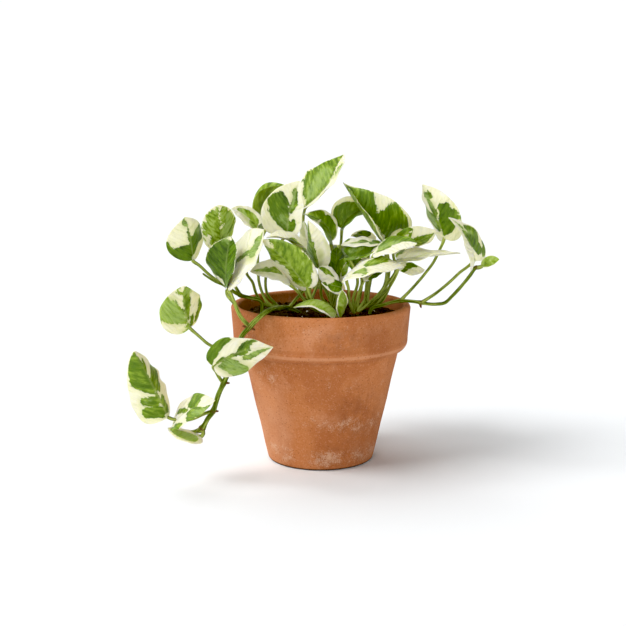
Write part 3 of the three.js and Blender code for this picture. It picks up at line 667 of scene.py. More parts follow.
right = Shoot(
    "right_shoot",
    stems=[(2, [(25, -14, 86), (24, -14, 112)])],
    crown=(24, -14, 110),
)
right.leaf(
    petiole=[(23, -20, 112), (20, -28, 120), (19, -35, 131)],
    base=(17, -38, 139), tip=(57, -42, 147), face=(-0.2, -0.2, 1), half=16, arch=6, sway=2, fold=5,
    curl=-10, twist=-15, tone=0.55,
    green=[(72, -85, 50, -30, 12, 13), (40, -20, 50, -10, 7, 10), (35, 30, 40, 80, 5, 4),
        (28, 30, 34, 50, 12, 8), (68, -35, 50, -15, 8, 8)],
    pale=[(28, 30, 38, 60, 12, 8), (80, -100, 70, -70, 4, 5)],
)
right.leaf(
    petiole=[(23, -17, 120), (26, -19, 133), (24, -21, 142)],
    base=(20, -22, 151), tip=(41, -24, 159), face=(-0.4, -0.6, 0.7), half=9, arch=-2, sway=1,
    fold=(20, 35), wide=0.3, lobe=0.4, tone=0.15,
    green=[(15, 0, 80, 0, 60, 50)],
    cream=[(30, 30, 32, 95, 2, 3)],
    pale=[(15, -60, 50, -70, 12, 8), (10, 10, 15, 70, 10, 8), (70, 50, 60, 90, 15, 12)],
)
right.leaf(
    petiole=[(31, -12, 118), (34, -15, 132), (35, -24, 145)],
    base=(36, -30, 154), tip=(66, -36, 162), face=(-0.3, -0.3, 0.9), half=12, arch=3, sway=-2, fold=5,
    curl=-10, twist=-10, wide=0.45, tone=0.35,
    green=[(30, 5, 20, 10, 18, 14), (35, -25, 50, -35, 20, 20), (60, -50, 85, -55, 20, 14),
        (45, -90, 85, -95, 14, 14), (30, -50, 25, -30, 12, 10)],
    cream=[(35, -100, 36, -85, 3, 2), (95, 0, 80, 10, 5, 3)],
    pale=[(25, -10, 55, -15, 16, 10)],
)
right.leaf(
    petiole=[(30, -13, 113), (38, -13, 120), (45, -14, 129), (47, -14, 142), (46, -14, 152)],
    base=(43, -13, 160), tip=(14, -17, 159), face=(0, -0.3, 1), half=11, arch=2, fold=(10, 0),
    curl=(-5, -15), twist=10, wide=0.45, tone=0.25,
    green=[(72, -22, 50, -15, 7, 12), (45, 5, 35, -15, 8, 7), (12, -40, 10, 50, 14, 10),
        (30, -60, 25, -20, 6, 8), (82, 60, 80, 100, 7, 7)],
    pale=[(70, -20, 50, -10, 10, 8)],
)
right.leaf(
    petiole=[(26, -12, 115), (29, -14, 129)],
    base=(29, -16, 141), tip=(17, -18, 150), face=(0.4, -0.8, 0.4), half=6, arch=1, fold=15, curl=-5,
    twist=5, tone=-0.1,
    green=[(10, 0, 90, 0, 50, 50)],
    cream=[(42, -100, 15, 60, 7, 10)],
    pale=[(68, -70, 70, 30, 6, 5)],
)
right.leaf(
    petiole=[(25, -16, 115), (27, -21, 126)],
    base=(30, -24, 136), tip=(44, -22, 141), face=(-0.2, -0.5, 0.8), half=5, arch=1, fold=(0, 10),
    curl=-10, twist=-5, tone=0,
    green=[(45, 70, 80, 40, 22, 28), (20, -90, 30, -95, 6, 6)],
)

right_back = Shoot(
    "right_back_shoot",
    stems=[(2.2, [(34, 9, 86), (34, 8, 112)])],
    crown=(34, 8, 110),
)
right_back.leaf(
    petiole=[(41, 6, 115), (46, 6, 121), (50, 8, 135), (49, 10, 149)],
    base=(46, 9, 159), tip=(16, 3, 202), face=(0.4, -0.9, 0.2), half=(20, 27), arch=9, sway=-5, fold=45,
    curl=(45, 0), twist=-15, wide=0.3, taper=1.3, tone=0.25,
    green=[(82, 50, 55, 28, 14, 12), (76, 75, 65, 50, 11, 12), (38, 65, 38, 35, 13, 14),
        (40, 85, 20, 70, 15, 12), (5, 22, 90, 30, 3, 3), (12, 30, 30, 35, 7, 12),
        (15, -40, 80, -50, 20, 24)],
    cream=[(60, 110, 45, 35, 12, 1), (3, 100, 10, 60, 7, 4), (40, 108, 15, 105, 5, 7)],
    pale=[(90, 70, 75, 90, 5, 5)],
)
right_back.leaf(
    petiole=[(33, 8, 116), (34, 10, 130), (35, 12, 143)],
    base=(35, 14, 157), tip=(22, 16, 162), face=(0.3, -0.5, 0.8), half=8, arch=1, fold=(55, 35),
    curl=(15, 5), wide=0.3, taper=0.8, lobe=0.5, tone=0,
    green=[(50, -80, 70, -40, 20, 18), (40, 60, 70, 30, 20, 17)],
)
right_back.leaf(
    petiole=[(44, 2, 115), (50, -1, 127), (54, -4, 140), (52, -7, 150)],
    base=(51, -8, 159), tip=(82, -12, 169), face=(0.1, -0.8, -0.6), half=13, arch=4, sway=1,
    fold=(0, -30), curl=(-10, -20), twist=50, wide=0.45, tone=0.4,
    green=[(82, 10, 62, 35, 10, 16), (50, -10, 72, 0, 9, 12), (40, -20, 20, -50, 5, 10),
        (10, -50, 8, 40, 12, 10), (50, -85, 30, -90, 6, 12), (42, -35, 45, -60, 2, 5)],
    cream=[(70, -75, 50, -45, 8, 2), (17, -100, 10, -95, 8, 4)],
    pale=[(30, -30, 10, 0, 10, 12)],
)
right_back.leaf(
    petiole=[(36, 3, 113), (41, -4, 120), (49, -10, 132), (54, -15, 142)],
    base=(54, -18, 149), tip=(98, -22, 154), face=(-0.1, -0.3, 1), half=17, sway=-1, fold=(5, 15),
    curl=(-10, 0), twist=30, wide=0.45, tone=0.9,
    green=[(12, -90, 18, -100, 9, 5)],
    pale=[(50, -20, 30, 10, 3, 5), (20, 90, 20, 100, 6, 5)],
)
right_back.leaf(
    petiole=[(39, 0, 114), (48, -5, 125), (54, -10, 137)],
    base=(56, -12, 144), tip=(74, -14, 141), face=(0, -0.7, 0.7), half=6, sway=2, fold=(5, 15), curl=-5,
    wide=0.45, tone=0.1,
    green=[(62, -70, 40, -60, 12, 16), (38, -30, 30, -10, 12, 10), (30, 0, 28, 90, 8, 5),
        (62, -95, 45, -95, 10, 12)],
    pale=[(75, -75, 90, -80, 8, 5), (20, -90, 30, -80, 6, 6)],
)
right_back.leaf(
    petiole=[(36, 18, 122), (40, 28, 138)],
    base=(44, 36, 150), tip=(66, 64, 138), face=(0.3, 0.3, 0.9), half=15, arch=5, fold=10, curl=-15,
    twist=5, tone=0.2,
    green=[(20, -30, 60, -75, 15, 15), (40, 25, 75, 50, 16, 14)],
    pale=[(30, -40, 50, -60, 10, 10)],
)

runner = Shoot(
    "right_runner",
    stems=[
        (1.6, [(35, -3, 88), (35, -3, 101), (37, -4, 111), (44, -6, 114), (51, -8, 116.5), (57, -10, 118),
            (65, -12, 118), (72, -12, 117), (78, -12, 116), (84, -12, 116), (89, -12, 117),
            (94, -13, 122), (100, -14, 129), (106, -15, 137), (110, -16, 143), (112, -16, 143)]),
    ],
    root_stubs=[((71, -12, 117), (72, -13, 113))],
)
runner.leaf(
    petiole=[(57, -10, 118), (66, -8, 127), (74, -6, 136), (81, -4, 145), (85, -3, 153)],
    base=(88, -2, 162), tip=(72, -6, 201), face=(-0.4, -0.9, -0.3), half=17, arch=-1, sway=1,
    fold=(-35, 0), curl=(-25, -10), twist=-15, wide=0.35, tone=0.1,
    green=[(82, -40, 78, 5, 5, 8), (70, -15, 45, -5, 7, 7), (78, 15, 85, 20, 7, 4),
        (50, -75, 35, -55, 9, 10), (35, -40, 20, -15, 14, 8), (45, 45, 25, 35, 13, 16),
        (55, 70, 50, 40, 3.5, 10), (42, 85, 40, 60, 5, 8), (8, 15, 20, 35, 5, 14),
        (35, 95, 35, 70, 3, 6)],
    pale=[(82, -30, 60, 0, 10, 8), (50, -70, 30, -30, 10, 10)],
)
runner.leaf(
    petiole=[(72, -12, 117), (82, -14, 124), (92, -16, 133), (99, -17, 140), (104, -18, 144)],
    base=(109, -17, 148), tip=(89, -22, 179), face=(0.6, -0.7, 0.3), half=14, arch=4, sway=1,
    fold=(20, 5), curl=(0, -10), twist=-30, wide=0.3, tone=0.15,
    green=[(55, 0, 45, 10, 12, 14), (60, 60, 45, 50, 10, 16), (35, 25, 20, 40, 14, 12),
        (12, 45, 18, 40, 5, 10), (60, 85, 50, 75, 3, 10), (28, 98, 12, 80, 3, 7), (85, 20, 70, 20, 3, 5)],
    pale=[(60, 20, 50, 50, 8, 8), (88, 20, 70, 20, 8, 8)],
)
runner.leaf(
    petiole=[(110, -16, 143), (112, -16, 143)],
    base=(114, -16, 144), tip=(126, -18, 149), face=(-0.3, -0.9, 0.4), half=4, arch=1, sway=-1, fold=10,
    curl=-10, wide=0.5, tone=0.8,
    green=[(10, 0, 90, 0, 40, 40)],
)


# Materials


class Look:
    """A material with one Principled shader, and short ways to add the nodes of its patterns."""

    def __init__(self, name):
        self.material = bpy.data.materials.new(name)
        self.material.use_nodes = True
        self.tree = self.material.node_tree
        self.shader = self.tree.nodes["Principled BSDF"]

    def plug(self, socket, value):
        if isinstance(value, bpy.types.NodeSocket):
            self.tree.links.new(value, socket)
        else:
            socket.default_value = value

    def node(self, kind, *values, **settings):
        """A node with the values in its first sockets."""
        node = self.tree.nodes.new("ShaderNode" + kind)
        for key, value in settings.items():
            setattr(node, key, value)
        for socket, value in zip(node.inputs, values):
            self.plug(socket, value)
        return node

    def mark(self, name):
        return self.node("Attribute", attribute_name=name).outputs["Fac"]

    def math(self, operation, *values, clamp=False):
        return self.node("Math", *values, operation=operation, use_clamp=clamp).outputs[0]

    def times(self, value, factor):
        return self.math("MULTIPLY", value, factor)

    def plus(self, *values):
        return functools.reduce(lambda a, b: self.math("ADD", a, b), values)

    def most(self, *values):
        return functools.reduce(lambda a, b: self.math("MAXIMUM", a, b), values)

    def vector(self, x, y, z):
        return self.node("CombineXYZ", x, y, z).outputs[0]

    def place(self):
        """Place in millimetres from the pot's axis."""
        coordinates = self.node("TexCoord").outputs["Object"]
        from_axis = self.node("VectorMath", coordinates, POT_AXIS, operation="SUBTRACT")
        scaled = self.node("VectorMath", from_axis.outputs[0], operation="SCALE")
        scaled.inputs["Scale"].default_value = 1 / MM
        return scaled.outputs[0]

    def noise(self, place, scale, detail=3.0, roughness=0.5):
        node = self.node("TexNoise")
        self.plug(node.inputs["Vector"], place)
        node.inputs["Scale"].default_value = scale
        node.inputs["Detail"].default_value = detail
        node.inputs["Roughness"].default_value = roughness
        return node.outputs["Fac"]

    def cells(self, place, scale):
        node = self.node("TexVoronoi")
        self.plug(node.inputs["Vector"], place)
        node.inputs["Scale"].default_value = scale
        return node.outputs["Distance"]

    def centred(self, fraction, width):
        """A fraction from 0 to 1 as a number around 0, width wide in all."""
        return self.math("MULTIPLY_ADD", fraction, width, -width / 2)

    def ripple(self, width, *noise):
        return self.centred(self.noise(*noise), width)

    def spot(self, x, z, at_x, at_z, half_width, half_height):
        """1 in the middle of an oval seen from the front, 0 outside it."""
        across = self.math("MULTIPLY_ADD", x, 1 / half_width, -at_x / half_width)
        up = self.math("MULTIPLY_ADD", z, 1 / half_height, -at_z / half_height)
        square = self.math("MULTIPLY_ADD", across, across, self.times(up, up))
        return self.step(square, 1.0, 0.0)

    def step(self, value, low, high, to_low=0.0, to_high=1.0):
        return self.node("MapRange", value, low, high, to_low, to_high,
                         interpolation_type="SMOOTHSTEP").outputs[0]

    def blend(self, share, low, high):
        node = self.node("Mix", share, data_type="RGBA")
        for socket, color in ((node.inputs[6], low), (node.inputs[7], high)):
            self.plug(socket, color if isinstance(color, bpy.types.NodeSocket) else (*color, 1))
        return node.outputs[2]

    def tint(self, color, other, value, start, full, share=1.0):
        """The colour turns into the other, by the share at most, as the value goes from start to full."""
        return self.blend(self.step(value, start, full, 0.0, share), color, other)

    def bump(self, height, distance_mm, strength=1.0):
        node = self.node("Bump")
        node.inputs["Strength"].default_value = strength
        node.inputs["Distance"].default_value = distance_mm * MM
        self.plug(node.inputs["Height"], height)
        self.plug(self.shader.inputs["Normal"], node.outputs[0])

    def surface(self, color, roughness, **fixed):
        self.plug(self.shader.inputs["Base Color"], color)
        self.plug(self.shader.inputs["Roughness"], roughness)
        for name, value in fixed.items():
            self.shader.inputs[name.replace("_", " ")].default_value = value
        return self.material


CREAM = (0.82, 0.78, 0.56)
WHITE = (0.88, 0.86, 0.72)
CREAM_GREEN = (0.47, 0.52, 0.19)
DEEP_GREEN = (0.038, 0.095, 0.002)
LEAF_GREEN = (0.11, 0.21, 0.007)
YELLOW_GREEN = (0.26, 0.38, 0.03)
PALE_GREEN = (0.42, 0.53, 0.14)
MILKY_GREEN = (0.35, 0.47, 0.15)
BACK_GREEN = (0.2, 0.24, 0.05)
STEM_DEEP = (0.04, 0.075, 0.003)
STEM_GREEN = (0.095, 0.155, 0.008)
STEM_PALE = (0.4, 0.47, 0.1)
BROWN = (0.13, 0.055, 0.02)

CLAY = (0.475, 0.172, 0.062)
CLAY_LIGHT = (0.59, 0.28, 0.15)
CLAY_DARK = (0.34, 0.105, 0.034)
# Dark clay for painted shade, for the inside wall and for small specks.
CLAY_SHADE_AND_SPECKS = (0.19, 0.06, 0.026)
# Painted contact shadow on the rounded edge under the foot.
PAINTED_CONTACT_SHADOW = (0.03, 0.02, 0.016)
SALT = (0.64, 0.44, 0.3)

PEAT_BLACK = (0.008, 0.005, 0.003)
PEAT_BROWN = (0.05, 0.03, 0.016)
BARK = (0.22, 0.14, 0.07)
PERLITE_SHADE = (0.5, 0.47, 0.4)
PERLITE = (0.75, 0.73, 0.67)

# Spots on the pot as seen from the front: place across and up, half width and half height.
# Painted shade: the vine's cast shadow, and darker spots below the lip, on the belly and at the foot.
PAINTED_SHADE_SPOTS = ((14, 98, 22, 12), (-48, 92, 7, 14), (26, 40, 20, 34), (14, 10, 30, 14))
# Painted shade on the right of the collar.
PAINTED_SHADE_RIGHT_COLLAR = (44, 100, 30, 16)
# Painted light on the lit lower left of the belly.
PAINTED_LIGHT_SPOT = (-36, 28, 20, 40)
ALL_ROUND = 300
# A painted highlight along the collar's rounded foot.
PAINTED_HIGHLIGHT_BEAD = (0, 86.3, ALL_ROUND, 1.7)
# A painted shade line above the highlight.
PAINTED_SHADE_CREASE = (0, 90.5, ALL_ROUND, 1.8)
# The same with how much salt each holds: a ring at the foot, then patches on the belly and at its sides.
SALT_SPOTS = (
    (0, 10, ALL_ROUND, 9, 0.16),
    (16, 34, 34, 9, 0.17),
    (-38, 68, 12, 12, 0.14),
    (44, 32, 14, 12, 0.1),
)


def leaf_look():
    look = Look("variegated_leaf")
    green, pale, tone, mottle, vein_x, vein_y, leaf, under, midrib = map(look.mark, BLADE_MARKS)
    seed = look.times(leaf, 7.31)
    streaks = look.vector(vein_x, look.times(vein_y, 0.45), seed)
    flat = look.vector(vein_x, vein_y, seed)

    # A green patch has a scalloped edge with small teeth along the veins.
    coarse = look.ripple(0.07, streaks, 0.32, 2.0)
    fine = look.ripple(0.03, streaks, 1.1, 2.0)
    dapple = look.times(look.ripple(0.35, flat, 0.45, 3.0, 0.55), mottle)
    edge = look.plus(green, coarse, fine, dapple)
    is_green = look.step(edge, -0.007, 0.007)
    halo = look.step(edge, -0.07, -0.005, 0.0, 0.5)

    # Greens run from deep over leaf green to yellow-green, marbled along the veins and blotched.
    quilt = look.cells(streaks, 0.3)
    marble = look.plus(look.ripple(2.0, streaks, 0.5, 5.0, 0.7), look.centred(quilt, -1.0))
    mottled = look.times(look.ripple(1.8, flat, 0.4, 2.0), mottle)
    blotch = look.plus(look.ripple(1.2, flat, 0.18, 2.0), mottled)
    shade = look.plus(marble, blotch, look.times(pale, 0.2), tone)
    greens = look.tint(DEEP_GREEN, LEAF_GREEN, shade, -0.6, 0.15)
    greens = look.tint(greens, YELLOW_GREEN, shade, 0.2, 0.8)
    greens = look.tint(greens, PALE_GREEN, shade, 0.7, 1.3, 0.9)
    milky = look.plus(pale, look.ripple(2.4, streaks, 0.6, 5.0, 0.7))
    greens = look.tint(greens, MILKY_GREEN, milky, 0.4, 1.3, 0.75)

    # Creams turn greener in streaks, in the pale strokes and beside a green patch.
    creams = look.blend(look.noise(flat, 0.12, 2.0), CREAM, WHITE)
    streak = look.step(look.noise(streaks, 0.35, 4.0, 0.6), 0.5, 0.75, 0.0, 0.5)
    tinge = look.most(streak, look.times(pale, 0.7), look.times(halo, look.noise(flat, 0.5)))
    creams = look.blend(tinge, creams, CREAM_GREEN)
    color = look.blend(is_green, creams, greens)

    # Veins show a little paler in the green, and the midrib most. The underside is duller.
    wave = look.math("SINE", look.times(vein_x, 2 * math.pi / VEIN_SPACING))
    vein = look.times(look.step(wave, 0.9, 1.0, 0.0, 0.16), look.noise(flat, 0.3))
    color = look.blend(look.times(vein, is_green), color, PALE_GREEN)
    color = look.blend(look.times(midrib, 0.5), color, CREAM_GREEN)
    color = look.blend(look.times(under, 0.3), color, BACK_GREEN)

    quilted = look.plus(look.times(quilt, -1.0), look.times(wave, -0.3))
    look.bump(look.plus(quilted, look.noise(flat, 1.6, 3.0, 0.6)), 0.35, 0.9)
    roughness = look.step(look.noise(flat, 0.8, 2.0), 0.3, 0.7, 0.3, 0.45)
    return look.surface(color, roughness, Specular_IOR_Level=0.25, Subsurface_Weight=0.75,
                        Subsurface_Radius=(1.0, 1.0, 0.4), Subsurface_Scale=1.2 * MM)


def stem_look():
    look = Look("stem_and_petiole")
    place = look.place()
    pale, brown, along, round_x, round_y = map(look.mark, STEM_MARKS)
    stripes = look.noise(look.vector(round_x, round_y, look.times(along, 0.06)), 1.6, 3.0, 0.6)
    color = look.blend(pale, STEM_GREEN, STEM_PALE)
    color = look.tint(color, STEM_PALE, stripes, 0.5, 0.64, 0.8)
    color = look.tint(color, STEM_DEEP, stripes, 0.5, 0.38, 0.85)
    specks = look.step(look.noise(place, 2.2, 2.0), 0.66, 0.74, 0.0, 0.5)
    color = look.blend(look.math("MULTIPLY_ADD", specks, 0.3, brown, clamp=True), color, BROWN)

    rings = look.math("SINE", look.times(along, 3.0))
    look.bump(look.plus(stripes, look.noise(place, 1.5, 3.0), look.times(rings, 0.1)), 0.15, 0.5)
    return look.surface(color, 0.5, Specular_IOR_Level=0.12)


def terracotta_look():
    look = Look("terracotta")
    place = look.place()
    x, y, z = look.node("SeparateXYZ", place).outputs
    upright = look.vector(x, y, look.times(z, 0.2))
    squashed = look.vector(x, y, look.times(z, 3.0))

    # The clay is clouded in wide patches and upright streaks, and mealy close by.
    mealy = look.noise(place, 0.8, 5.0, 0.75)
    color = look.tint(CLAY, CLAY_DARK, look.noise(place, 0.025, 4.0, 0.55), 0.4, 0.6, 0.65)
    color = look.tint(color, CLAY_LIGHT, look.noise(place, 0.04, 4.0, 0.6), 0.5, 0.75, 0.5)
    color = look.tint(color, CLAY_DARK, look.noise(upright, 0.08, 4.0), 0.5, 0.7, 0.45)
    color = look.tint(color, CLAY_LIGHT, mealy, 0.52, 0.68, 0.6)
    color = look.tint(color, CLAY_DARK, mealy, 0.47, 0.34, 0.6)

    # Painted shade darkens the clay below the lip, beside the vine as its cast shadow, and towards the
    # foot, darkest right of the middle.
    painted_shade = look.most(*(look.spot(x, z, *spot) for spot in PAINTED_SHADE_SPOTS))
    painted_shade = look.times(painted_shade, look.step(look.noise(place, 0.16, 5.0, 0.65), 0.3, 0.7))
    painted_shade = look.most(painted_shade, look.times(look.spot(x, z, *PAINTED_SHADE_RIGHT_COLLAR), 0.4))
    color = look.blend(look.times(painted_shade, 0.45), color, CLAY_SHADE_AND_SPECKS)
    # Painted light brightens the lower left of the belly.
    painted_light = look.times(look.spot(x, z, *PAINTED_LIGHT_SPOT), look.noise(place, 0.1, 4.0, 0.6))
    color = look.blend(painted_light, color, CLAY_LIGHT)

    # The wall inside the mouth is darker down to the soil.
    radius = look.math("SQRT", look.math("MULTIPLY_ADD", x, x, look.times(y, y)))
    inside = look.step(radius, MOUTH_RADIUS + 1.3, MOUTH_RADIUS - 0.2)
    wall = look.times(inside, look.step(z, NECK_HEIGHT + 6, NECK_HEIGHT + 10))
    color = look.blend(look.times(wall, 0.3), color, CLAY_SHADE_AND_SPECKS)

    # Where the collar ends, a painted highlight runs along its rounded foot with a painted shade line
    # above it.
    collar = look.step(radius, NECK_RADIUS + 1.5, NECK_RADIUS + 3)
    for spot, other, share in ((PAINTED_HIGHLIGHT_BEAD, CLAY_LIGHT, 0.55), (PAINTED_SHADE_CREASE, CLAY_DARK, 0.35)):
        line = look.times(look.spot(x, z, *spot), collar)
        color = look.blend(look.times(line, share), color, other)

    # Salts bloom pale, and the rounded edge under the foot is darkened with a painted contact shadow.
    salt = look.most(*(look.times(look.spot(x, z, *spot), share) for *spot, share in SALT_SPOTS))
    salt = look.math("MULTIPLY_ADD", look.noise(place, 0.09, 5.0, 0.7), 0.9, salt)
    salt = look.math("MULTIPLY_ADD", look.noise(place, 1.0, 4.0, 0.75), 0.8, salt)
    color = look.tint(color, SALT, salt, 0.96, 1.2, 0.6)
    color = look.tint(color, CLAY_SHADE_AND_SPECKS, look.cells(place, 0.4), 0.19, 0.1, 0.75)
    color = look.tint(color, PAINTED_CONTACT_SHADOW, z, 1.9, 0.7, 0.92)

    pores = look.step(look.cells(place, 0.8), 0.06, 0.16)
    grit = look.math("MULTIPLY_ADD", pores, 0.5, look.noise(place, 1.6, 5.0, 0.65))
    look.bump(look.math("MULTIPLY_ADD", look.noise(squashed, 0.5, 2.0), 0.4, grit), 0.25, 0.55)
    return look.surface(color, 0.85, Specular_IOR_Level=0.2)


def soil_look():
    look = Look("potting_soil")
    place = look.place()
    color = look.blend(look.noise(place, 0.5, 4.0, 0.7), PEAT_BLACK, PEAT_BROWN)
    color = look.tint(color, BARK, look.noise(place, 1.7, 2.0), 0.62, 0.7, 0.8)
    look.bump(look.noise(place, 1.2, 5.0, 0.7), 0.6, 0.8)
    return look.surface(color, 0.95, Specular_IOR_Level=0.1)


def perlite_look():
    look = Look("perlite")
    place = look.place()
    color = look.blend(look.noise(place, 1.5, 3.0), PERLITE_SHADE, PERLITE)
    look.bump(look.cells(place, 2.0), 0.2, 0.6)
    return look.surface(color, 0.9)


# Pot and soil


def arc(centre, across, up, start, end, count):
    angles = np.radians(np.linspace(start, end, count))
    return [(centre[0] + across * math.cos(a), centre[1] + up * math.sin(a)) for a in angles]


def between(start, end, steps):
    """Points on a straight line, without its ends."""
    return [tuple(point) for point in np.linspace(start, end, steps, endpoint=False)[1:]]


def pot_profile():
    """Radius and height up the outside, over the lip and down the inside to the drain hole."""
    lip_height = POT_HEIGHT - LIP_RADIUS
    foot = arc((BASE_RADIUS - EDGE_RADIUS, EDGE_RADIUS), EDGE_RADIUS, EDGE_RADIUS, -90, -8, 6)
    collar = arc((NECK_RADIUS, COLLAR_FOOT_HEIGHT), COLLAR_FOOT_RADIUS - NECK_RADIUS,
                 COLLAR_FOOT_HEIGHT - NECK_HEIGHT, -90, 0, 12)
    lip = arc((RIM_RADIUS - LIP_RADIUS, lip_height), LIP_RADIUS, LIP_RADIUS, 0, 180, 16)
    return [
        (DRAIN_HOLE_RADIUS, 0),
        *between((DRAIN_HOLE_RADIUS, 0), foot[0], 8),
        *foot,
        *between(foot[-1], collar[0], 26),
        *collar,
        *between(collar[-1], lip[0], 10),
        *lip,
        *between((MOUTH_RADIUS, lip_height), (FLOOR_RADIUS, FLOOR_THICKNESS), 20),
        (FLOOR_RADIUS, FLOOR_THICKNESS),
        (DRAIN_HOLE_RADIUS, FLOOR_THICKNESS),
    ]


def make_pot():
    piece = Piece("terracotta_pot")
    profile = np.array(pot_profile())
    angle = turns(POT_SEGMENTS)
    radius, height = profile[:, :1], profile[:, 1:]

    # A thrown pot is a little out of round and ringed, more so away from its flat foot.
    uneven = 0.18 * np.sin(2 * angle + 0.6) + 0.1 * np.sin(5 * angle + height / 17)
    uneven = (uneven + 0.12 * np.sin(height / THROWING_RINGS)) * np.clip(height / 10, 0, 1)
    wide = radius + np.where(radius > FLOOR_RADIUS, uneven, 0)
    rings = np.stack([wide * np.cos(angle), wide * np.sin(angle), height + 0 * angle], -1)
    piece.skin(np.concatenate([rings, rings[:1]]), closed_ends=False)
    piece.finish(terracotta_look(), "pot")


def soil_height(x, y):
    """The soil is heaped a little in the middle and lies in small waves."""
    height = SOIL_LEVEL + 1.2 * (1 - (np.hypot(x, y) / 57) ** 2)
    height = height + 0.5 * np.sin(0.3 * x + 1) * np.cos(0.3 * y) + 0.35 * np.sin(0.48 * x - 0.39 * y)
    return height + 0.25 * np.sin(1.3 * x + 0.7 * y) * np.sin(1.1 * y - 0.4 * x + 2)


def make_soil():
    piece = Piece("potting_soil")
    angle = turns(SOIL_SEGMENTS)
    floor = FLOOR_THICKNESS + 0.5
    foot = ((SOIL_FOOT_RADIUS - 4, floor), (SOIL_FOOT_RADIUS, floor + 0.5))
    rings = []
    for radius, height in (*foot, (SOIL_RADIUS - 0.7, SOIL_LEVEL - 4)):
        rings.append(np.stack([radius * np.cos(angle), radius * np.sin(angle), 0 * angle + height], -1))
    for radius in np.linspace(SOIL_RADIUS, 1, SOIL_RINGS):
        x, y = radius * np.cos(angle), radius * np.sin(angle)
        rings.append(np.stack([x, y, soil_height(x, y)], -1))
    piece.skin(np.array(rings))
    piece.finish(soil_look(), "soil")


def add_grain(piece, draw, x, y, size):
    """An uneven little lump, half sunk in the soil."""
    steps, around = 5, 7
    height = float(soil_height(x, y)) + 0.25 * size
    stretch = [draw.uniform(0.7, 1.3) for _ in range(3)]
    turn = draw.uniform(0, math.pi)
    rings = []
    for i in range(steps):
        polar = math.pi * (i + 0.5) / steps
        ring = []
        for j in range(around):
            azimuth = 2 * math.pi * j / around + turn
            radius = size * draw.uniform(0.8, 1.15)
            ring.append((
                x + stretch[0] * radius * math.sin(polar) * math.cos(azimuth),
                y + stretch[1] * radius * math.sin(polar) * math.sin(azimuth),
                height - stretch[2] * 0.8 * radius * math.cos(polar),
            ))
        rings.append(ring)
    piece.skin(np.array(rings))


def make_grains(name, count, sizes, material, seed):
    piece = Piece(name)
    draw = random.Random(seed)
    for _ in range(count):
        size = draw.uniform(*sizes)
        radius = (SOIL_RADIUS - 2.1 - size) * math.sqrt(draw.random())
        angle = draw.uniform(0, 2 * math.pi)
        add_grain(piece, draw, radius * math.cos(angle), radius * math.sin(angle), size)
    piece.finish(material, "soil")


def make_shoot(shoot, leaf_material, stem_material, first_number):
    blades = Piece(shoot.name + "_blades", BLADE_MARKS)
    stems = Piece(shoot.name + "_stems", STEM_MARKS)
    node_places = [np.array(leaf["petiole"][0], float) for leaf in shoot.leaves]
    for radius, route in shoot.stems:
        add_stem(stems, route, radius, node_places)
    for start, end in shoot.root_stubs:
        add_root_stub(stems, start, end)
    for number, leaf in enumerate(shoot.leaves, first_number):
        add_petiole(stems, leaf)
        add_blade(blades, leaf, number)
    blades.finish(leaf_material, shoot.name)
    stems.finish(stem_material, shoot.name)


make_pot()
make_soil()
make_grains("soil_crumbs", 420, (0.7, 2.2), soil_look(), seed=11)
make_grains("perlite_grains", 22, (0.7, 1.5), perlite_look(), seed=5)
leaf_material, stem_material = leaf_look(), stem_look()
leaf_number = 0
for shoot in SHOOTS:
    make_shoot(shoot, leaf_material, stem_material, leaf_number)
    leaf_number += len(shoot.leaves)


# Floor, camera and light

FLOOR_REACH = 4.0
FLOOR_COLOR = (0.91, 0.93, 0.945, 1)
SENSOR_WIDTH = 36
FOCAL_PIXELS = 1100
IMAGE_PIXELS = 626
CAMERA_PLACE = (-5.62, -789.6, 249.6)
CAMERA_PITCH = 10.217


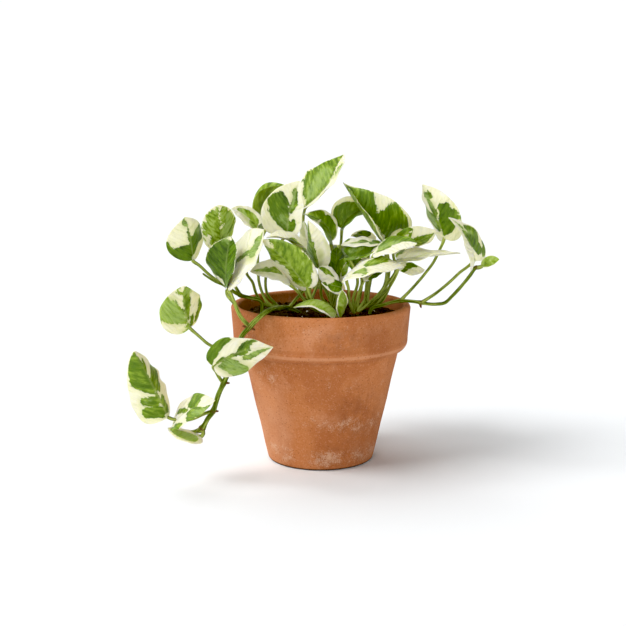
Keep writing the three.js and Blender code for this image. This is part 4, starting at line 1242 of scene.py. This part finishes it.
def make_floor():
    mesh = bpy.data.meshes.new("floor")
    corners = [(x * FLOOR_REACH, y * FLOOR_REACH, 0) for x, y in ((-1, -1), (1, -1), (1, 1), (-1, 1))]
    mesh.from_pydata(corners, [], [(0, 1, 2, 3)])
    mesh.materials.append(Look("studio_floor").surface(FLOOR_COLOR, 0.9, Specular_IOR_Level=0.0))
    floor = link("floor", mesh)


def make_camera():
    data = bpy.data.cameras.new("camera")
    data.sensor_width = SENSOR_WIDTH
    data.lens = SENSOR_WIDTH * FOCAL_PIXELS / IMAGE_PIXELS
    camera = link("camera", data)
    camera.location = POT_AXIS + np.array(CAMERA_PLACE) * MM
    camera.rotation_euler = (math.radians(90 - CAMERA_PITCH), 0, 0)
    bpy.context.scene.camera = camera


def add_sun(name, azimuth, elevation, strength, softness):
    """A far light that stands azimuth degrees round to the left of the front."""
    data = bpy.data.lights.new(name, "SUN")
    data.energy = strength
    data.angle = math.radians(softness)
    link(name, data).rotation_euler = (math.radians(90 - elevation), 0, math.radians(-azimuth))


def make_world():
    """A studio sweep: white up to a little above eye level, dimmer overhead."""
    world = bpy.data.worlds.new("studio")
    world.use_nodes = True
    nodes, links = world.node_tree.nodes, world.node_tree.links
    direction = nodes.new("ShaderNodeTexCoord")
    split = nodes.new("ShaderNodeSeparateXYZ")
    fade = nodes.new("ShaderNodeMapRange")
    fade.interpolation_type = "SMOOTHSTEP"
    for name, value in (("From Min", 0.26), ("From Max", 0.5), ("To Min", 1.02), ("To Max", 0.05)):
        fade.inputs[name].default_value = value
    links.new(direction.outputs["Generated"], split.inputs[0])
    links.new(split.outputs["Z"], fade.inputs["Value"])
    links.new(fade.outputs[0], nodes["Background"].inputs["Strength"])
    nodes["Background"].inputs["Color"].default_value = (1, 1, 1, 1)
    bpy.context.scene.world = world


def set_tones():
    """Plain tones with slightly deeper darks."""
    settings = bpy.context.scene.view_settings
    settings.view_transform = "Standard"
    settings.use_curve_mapping = True
    settings.curve_mapping.black_level = (0.006, 0.008, 0.012)


make_floor()
make_camera()
add_sun("key_left", azimuth=76, elevation=48, strength=2.45, softness=36)
add_sun("back_left", azimuth=150, elevation=58, strength=1.1, softness=40)
add_sun("front_fill", azimuth=5, elevation=9, strength=1.05, softness=50)
add_sun("right_fill", azimuth=-65, elevation=9, strength=0.3, softness=60)
make_world()
set_tones()
